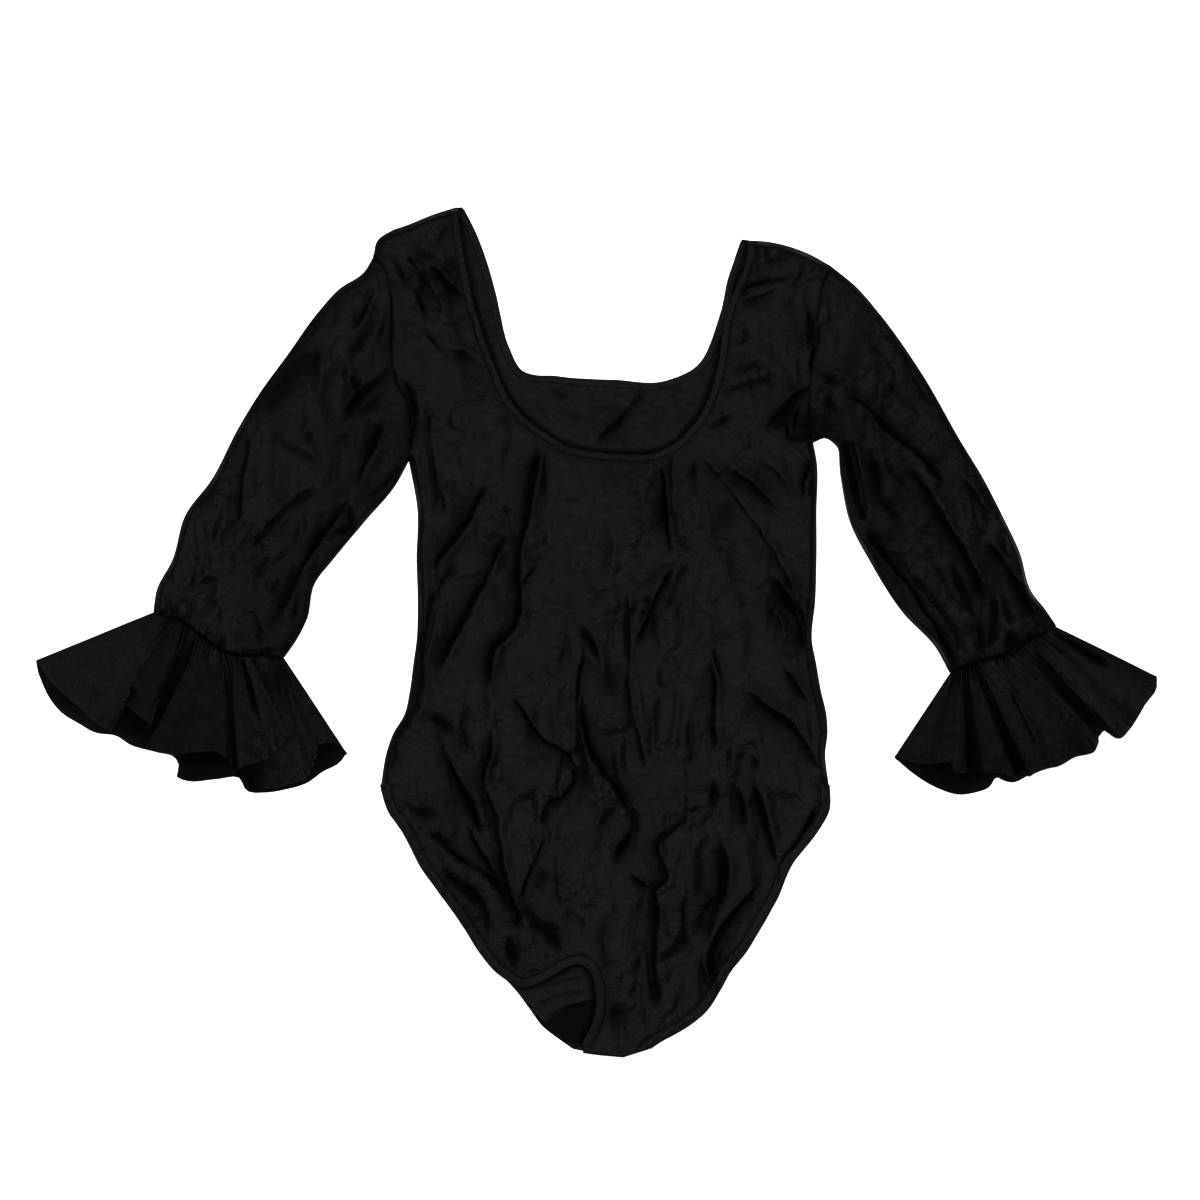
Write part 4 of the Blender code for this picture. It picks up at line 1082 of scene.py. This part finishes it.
def stitch_tree():
    """Small threads set end to end along the rows of a mesh's edges."""
    tree = bpy.data.node_groups.new("stitches along a row", "GeometryNodeTree")
    ports = tree.interface
    ports.new_socket("Geometry", in_out="INPUT", socket_type="NodeSocketGeometry")
    for name, size in (("Pitch", 0.0031), ("Length", 0.0026), ("Thickness", 0.00042)):
        ports.new_socket(name, in_out="INPUT", socket_type="NodeSocketFloat").default_value = size
    ports.new_socket("Geometry", in_out="OUTPUT", socket_type="NodeSocketGeometry")

    def add(kind, settings=None, links=None):
        return new_node(tree, kind, settings, links)

    sizes = add("NodeGroupInput").outputs
    rows = add("GeometryNodeMeshToCurve", None, {"Mesh": sizes["Geometry"]})
    spots = add("GeometryNodeResampleCurve", {"mode": "LENGTH"},
                {"Curve": rows.outputs[0], "Length": sizes["Pitch"]})
    half = add("ShaderNodeMath", {"operation": "MULTIPLY"}, {0: sizes["Length"], 1: 0.5})
    shape = add("ShaderNodeCombineXYZ", None, {"X": sizes["Thickness"], "Y": sizes["Thickness"],
                                               "Z": half.outputs[0]})
    ball = add("GeometryNodeMeshUVSphere", None, {"Segments": 6, "Rings": 4, "Radius": 1.0})
    thread = add("GeometryNodeTransform", None, {"Geometry": ball.outputs[0],
                                                 "Scale": shape.outputs[0]})
    along = add("GeometryNodeInputTangent")
    turn = add("FunctionNodeAlignRotationToVector", {"axis": "Z"}, {"Vector": along.outputs[0]})
    placed = add("GeometryNodeInstanceOnPoints", None,
                 {"Points": spots.outputs[0], "Instance": thread.outputs[0],
                  "Rotation": turn.outputs[0]})
    real = add("GeometryNodeRealizeInstances", None, {"Geometry": placed.outputs[0]})
    dyed = add("GeometryNodeSetMaterial", None, {"Geometry": real.outputs[0], "Material": THREAD})
    add("NodeGroupOutput", None, {0: dyed.outputs[0]})
    return tree


def stitches(name, rows, tree, **sizes):
    """Rows of stitches made into one plain mesh."""
    points, edges = [], []
    for row in rows:
        first = len(points)
        points += ((row - (0.0, CROTCH_TO_MIDDLE, 0.0)) * MM).tolist()
        edges += [(first + k, first + k + 1) for k in range(len(row) - 1)]
    line = bpy.data.meshes.new(name + " rows")
    line.from_pydata(points, edges, [])
    sewn = in_scene(name + " rows", line)
    step = sewn.modifiers.new("stitches", "NODES")
    step.node_group = tree
    for port in tree.interface.items_tree:
        if port.in_out == "INPUT" and port.name in sizes:
            step[port.identifier] = sizes[port.name]
    graph = bpy.context.evaluated_depsgraph_get()
    mesh = bpy.data.meshes.new_from_object(sewn.evaluated_get(graph), depsgraph=graph)
    bpy.data.objects.remove(sewn, do_unlink=True)
    mesh.name = name
    mesh.shade_smooth()
    made = in_scene(name, mesh)
    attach(made, "root")
    return made


# The pieces

def build_back():
    edges = body_edges(EDGE_STEP, 0.0)
    right_leg = evenly(side_knots(LEG_SECTIONS, 1), EDGE_STEP)
    left_leg = evenly(side_knots(LEG_SECTIONS, 2), EDGE_STEP)[::-1]
    neck = evenly(BACK_NECK, EDGE_STEP)[::-1]
    crotch = np.array([right_leg[-1], *CROTCH[1:3], left_leg[0]])
    top, left_top = edges["right shoulder"].copy(), edges["left shoulder"].copy()
    top[0], left_top[-1] = BACK_NECK[0], BACK_NECK[-1]
    loop = join(top, edges["right armhole"], edges["right side"], right_leg, crotch, left_leg,
                edges["left side"], edges["left armhole"], left_top, neck)
    shown = [hex_grid(np.array(box), SHOWN_BACK_GRID)
             for box in (((-110, 500), (130, 700)), ((-115, 0), (12, 110)))]
    points = np.vstack([crease_points(BACK_CREASES), *shown, hex_grid(loop, BACK_GRID)])
    plan, faces = filled(loop, points, POINT_GAP * 1.9)
    height, valley = back_top(plan)
    back = sheet_piece("back_body_cloth", plan, faces, height, CLOTH, KNIT, valley,
                       stands_for=["back_body"])
    band, rows = band_piece("back_neck_band_cloth", neck[1:-1], NECK_BAND, back_top, BAND, 51,
                            flat=0.75, stands_for=["back_neck_band"])
    return back, band, rows


def build_front():
    crotch = np.array([RIGHT_LEG[-1]] + list(CROTCH[:-1]) + [LEFT_LEG[0]])
    loop = join(EDGES["right shoulder"], EDGES["right armhole"], EDGES["right side"], RIGHT_LEG,
                crotch, LEFT_LEG, EDGES["left side"], EDGES["left armhole"],
                EDGES["left shoulder"], NECK)
    points = np.vstack([crease_points(BODY_CREASES), hex_grid(loop, FRONT_GRID)])
    plan, faces = filled(loop, points, POINT_GAP)
    height, valley = front_top(plan)
    front = sheet_piece("front_body_cloth", plan, faces, height, CLOTH, KNIT, valley,
                        stands_for=["front_body"])
    bands, rows = [], []
    for name, edge, width, seed in (("front_neck_band", NECK[1:-1], NECK_BAND, 61),
                                    ("right_leg_band", RIGHT_LEG[:-1], LEG_BAND, 71),
                                    ("left_leg_band", LEFT_LEG[1:], LEG_BAND, 81)):
        band, row = band_piece(name + "_cloth", edge, width, front_top, BAND, seed,
                               stands_for=[name])
        bands.append(band)
        rows += row
    return front, bands, rows


def build_lining():
    loop = evenly(GUSSET_LINING + GUSSET_LINING[:1], 2.0)[:-1][::-1]
    plan, faces = filled(loop, hex_grid(loop, LINING_GRID), POINT_GAP)
    height, valley = back_top(plan)
    return sheet_piece("gusset_lining_cloth", plan, faces, height + 0.75, 0.6, LINING, valley,
                       stands_for=["gusset_lining"], slot="lining")


def build_sleeve(name, outer, inner, armhole, cuff):
    middle, cut, valley = sleeve_rings(outer, inner, armhole, cuff)
    return tube_piece(name + "_cloth", middle, np.full(len(middle), CLOTH / 2), cut, KNIT, valley,
                      stands_for=[name])


def build_ruffle(name, cuff, hem, folds, pits, seed):
    middle, cut, valley = ruffle_rings(cuff, hem, folds, pits, seed)
    r = np.linspace(0.0, 1.0, len(middle))
    half = CLOTH / 2 + HEM_SWELL * np.exp(-((1.0 - r) * RUFFLE_DEPTH / HEM_REACH)**2)
    return tube_piece(name + "_cloth", middle, half, cut, KNIT, valley, stands_for=[name])


back, back_band, back_rows = build_back()
front, front_bands, front_rows = build_front()
lining = build_lining()
right_sleeve = build_sleeve("right_sleeve", RIGHT_SLEEVE_OUTER, RIGHT_SLEEVE_INNER,
                            RIGHT_ARMHOLE, RIGHT_CUFF)
left_sleeve = build_sleeve("left_sleeve", LEFT_SLEEVE_OUTER, LEFT_SLEEVE_INNER,
                           LEFT_ARMHOLE, LEFT_CUFF)
right_ruffle = build_ruffle("right_sleeve_ruffle", RIGHT_CUFF, RIGHT_RUFFLE_HEM,
                            RIGHT_RUFFLE_FOLDS, RIGHT_RUFFLE_PITS, 101)
left_ruffle = build_ruffle("left_sleeve_ruffle", LEFT_CUFF, LEFT_RUFFLE_HEM,
                           LEFT_RUFFLE_FOLDS, LEFT_RUFFLE_PITS, 111)
STITCHES = stitch_tree()
neck_stitches = stitches("front_stitches", front_rows, STITCHES)
back_stitches = stitches("back_neck_stitches", back_rows, STITCHES, Pitch=0.0034)


# Floor, light and camera

def floor_finish():
    finish = Finish("white paper", Roughness=0.9, Specular_IOR_Level=0.1)
    finish.dye(grain(finish, 60.0), (0.86, 0.86, 0.86), (0.90, 0.90, 0.90))
    return finish.made


def soft_light(name, spot, size, power):
    """A round softbox that faces the middle of the garment."""
    data = bpy.data.lights.new(name, "AREA")
    data.shape, data.size, data.energy = "DISK", size, power
    lamp = in_scene(name, data)
    lamp.location = spot
    lamp.rotation_mode = "QUATERNION"
    lamp.rotation_quaternion = (-Vector(spot)).to_track_quat("-Z", "Y")


FLOOR_SIZE, FLOOR_LEVEL = 6.0, -0.0004      # half its side, in metres
floor_mesh = bpy.data.meshes.new("floor")
floor_mesh.from_pydata([(x * FLOOR_SIZE, y * FLOOR_SIZE, FLOOR_LEVEL)
                        for x, y in ((-1, -1), (1, -1), (1, 1), (-1, 1))], [], [(0, 1, 2, 3)])
floor_mesh.materials.append(floor_finish())
floor = in_scene("floor", floor_mesh)

scene = bpy.context.scene
scene.view_settings.view_transform = "Standard"
scene.view_settings.gamma = 0.66
scene.world = scene.world or bpy.data.worlds.new("studio")
scene.world.use_nodes = True
sky = scene.world.node_tree.nodes["Background"]
sky.inputs["Color"].default_value = (1.0, 1.0, 1.0, 1.0)
sky.inputs["Strength"].default_value = 0.12
soft_light("overhead softbox", (0.1, 0.15, 4.3), 1.5, 270.0)
soft_light("window side softbox", (-1.6, 1.5, 3.2), 1.0, 46.0)

camera_data = bpy.data.cameras.new("camera")
camera_data.sensor_width, camera_data.lens = 36.0, 100.0
scene.camera = in_scene("camera", camera_data)
scene.camera.location = (0.00315, 0.0283, 3.003)
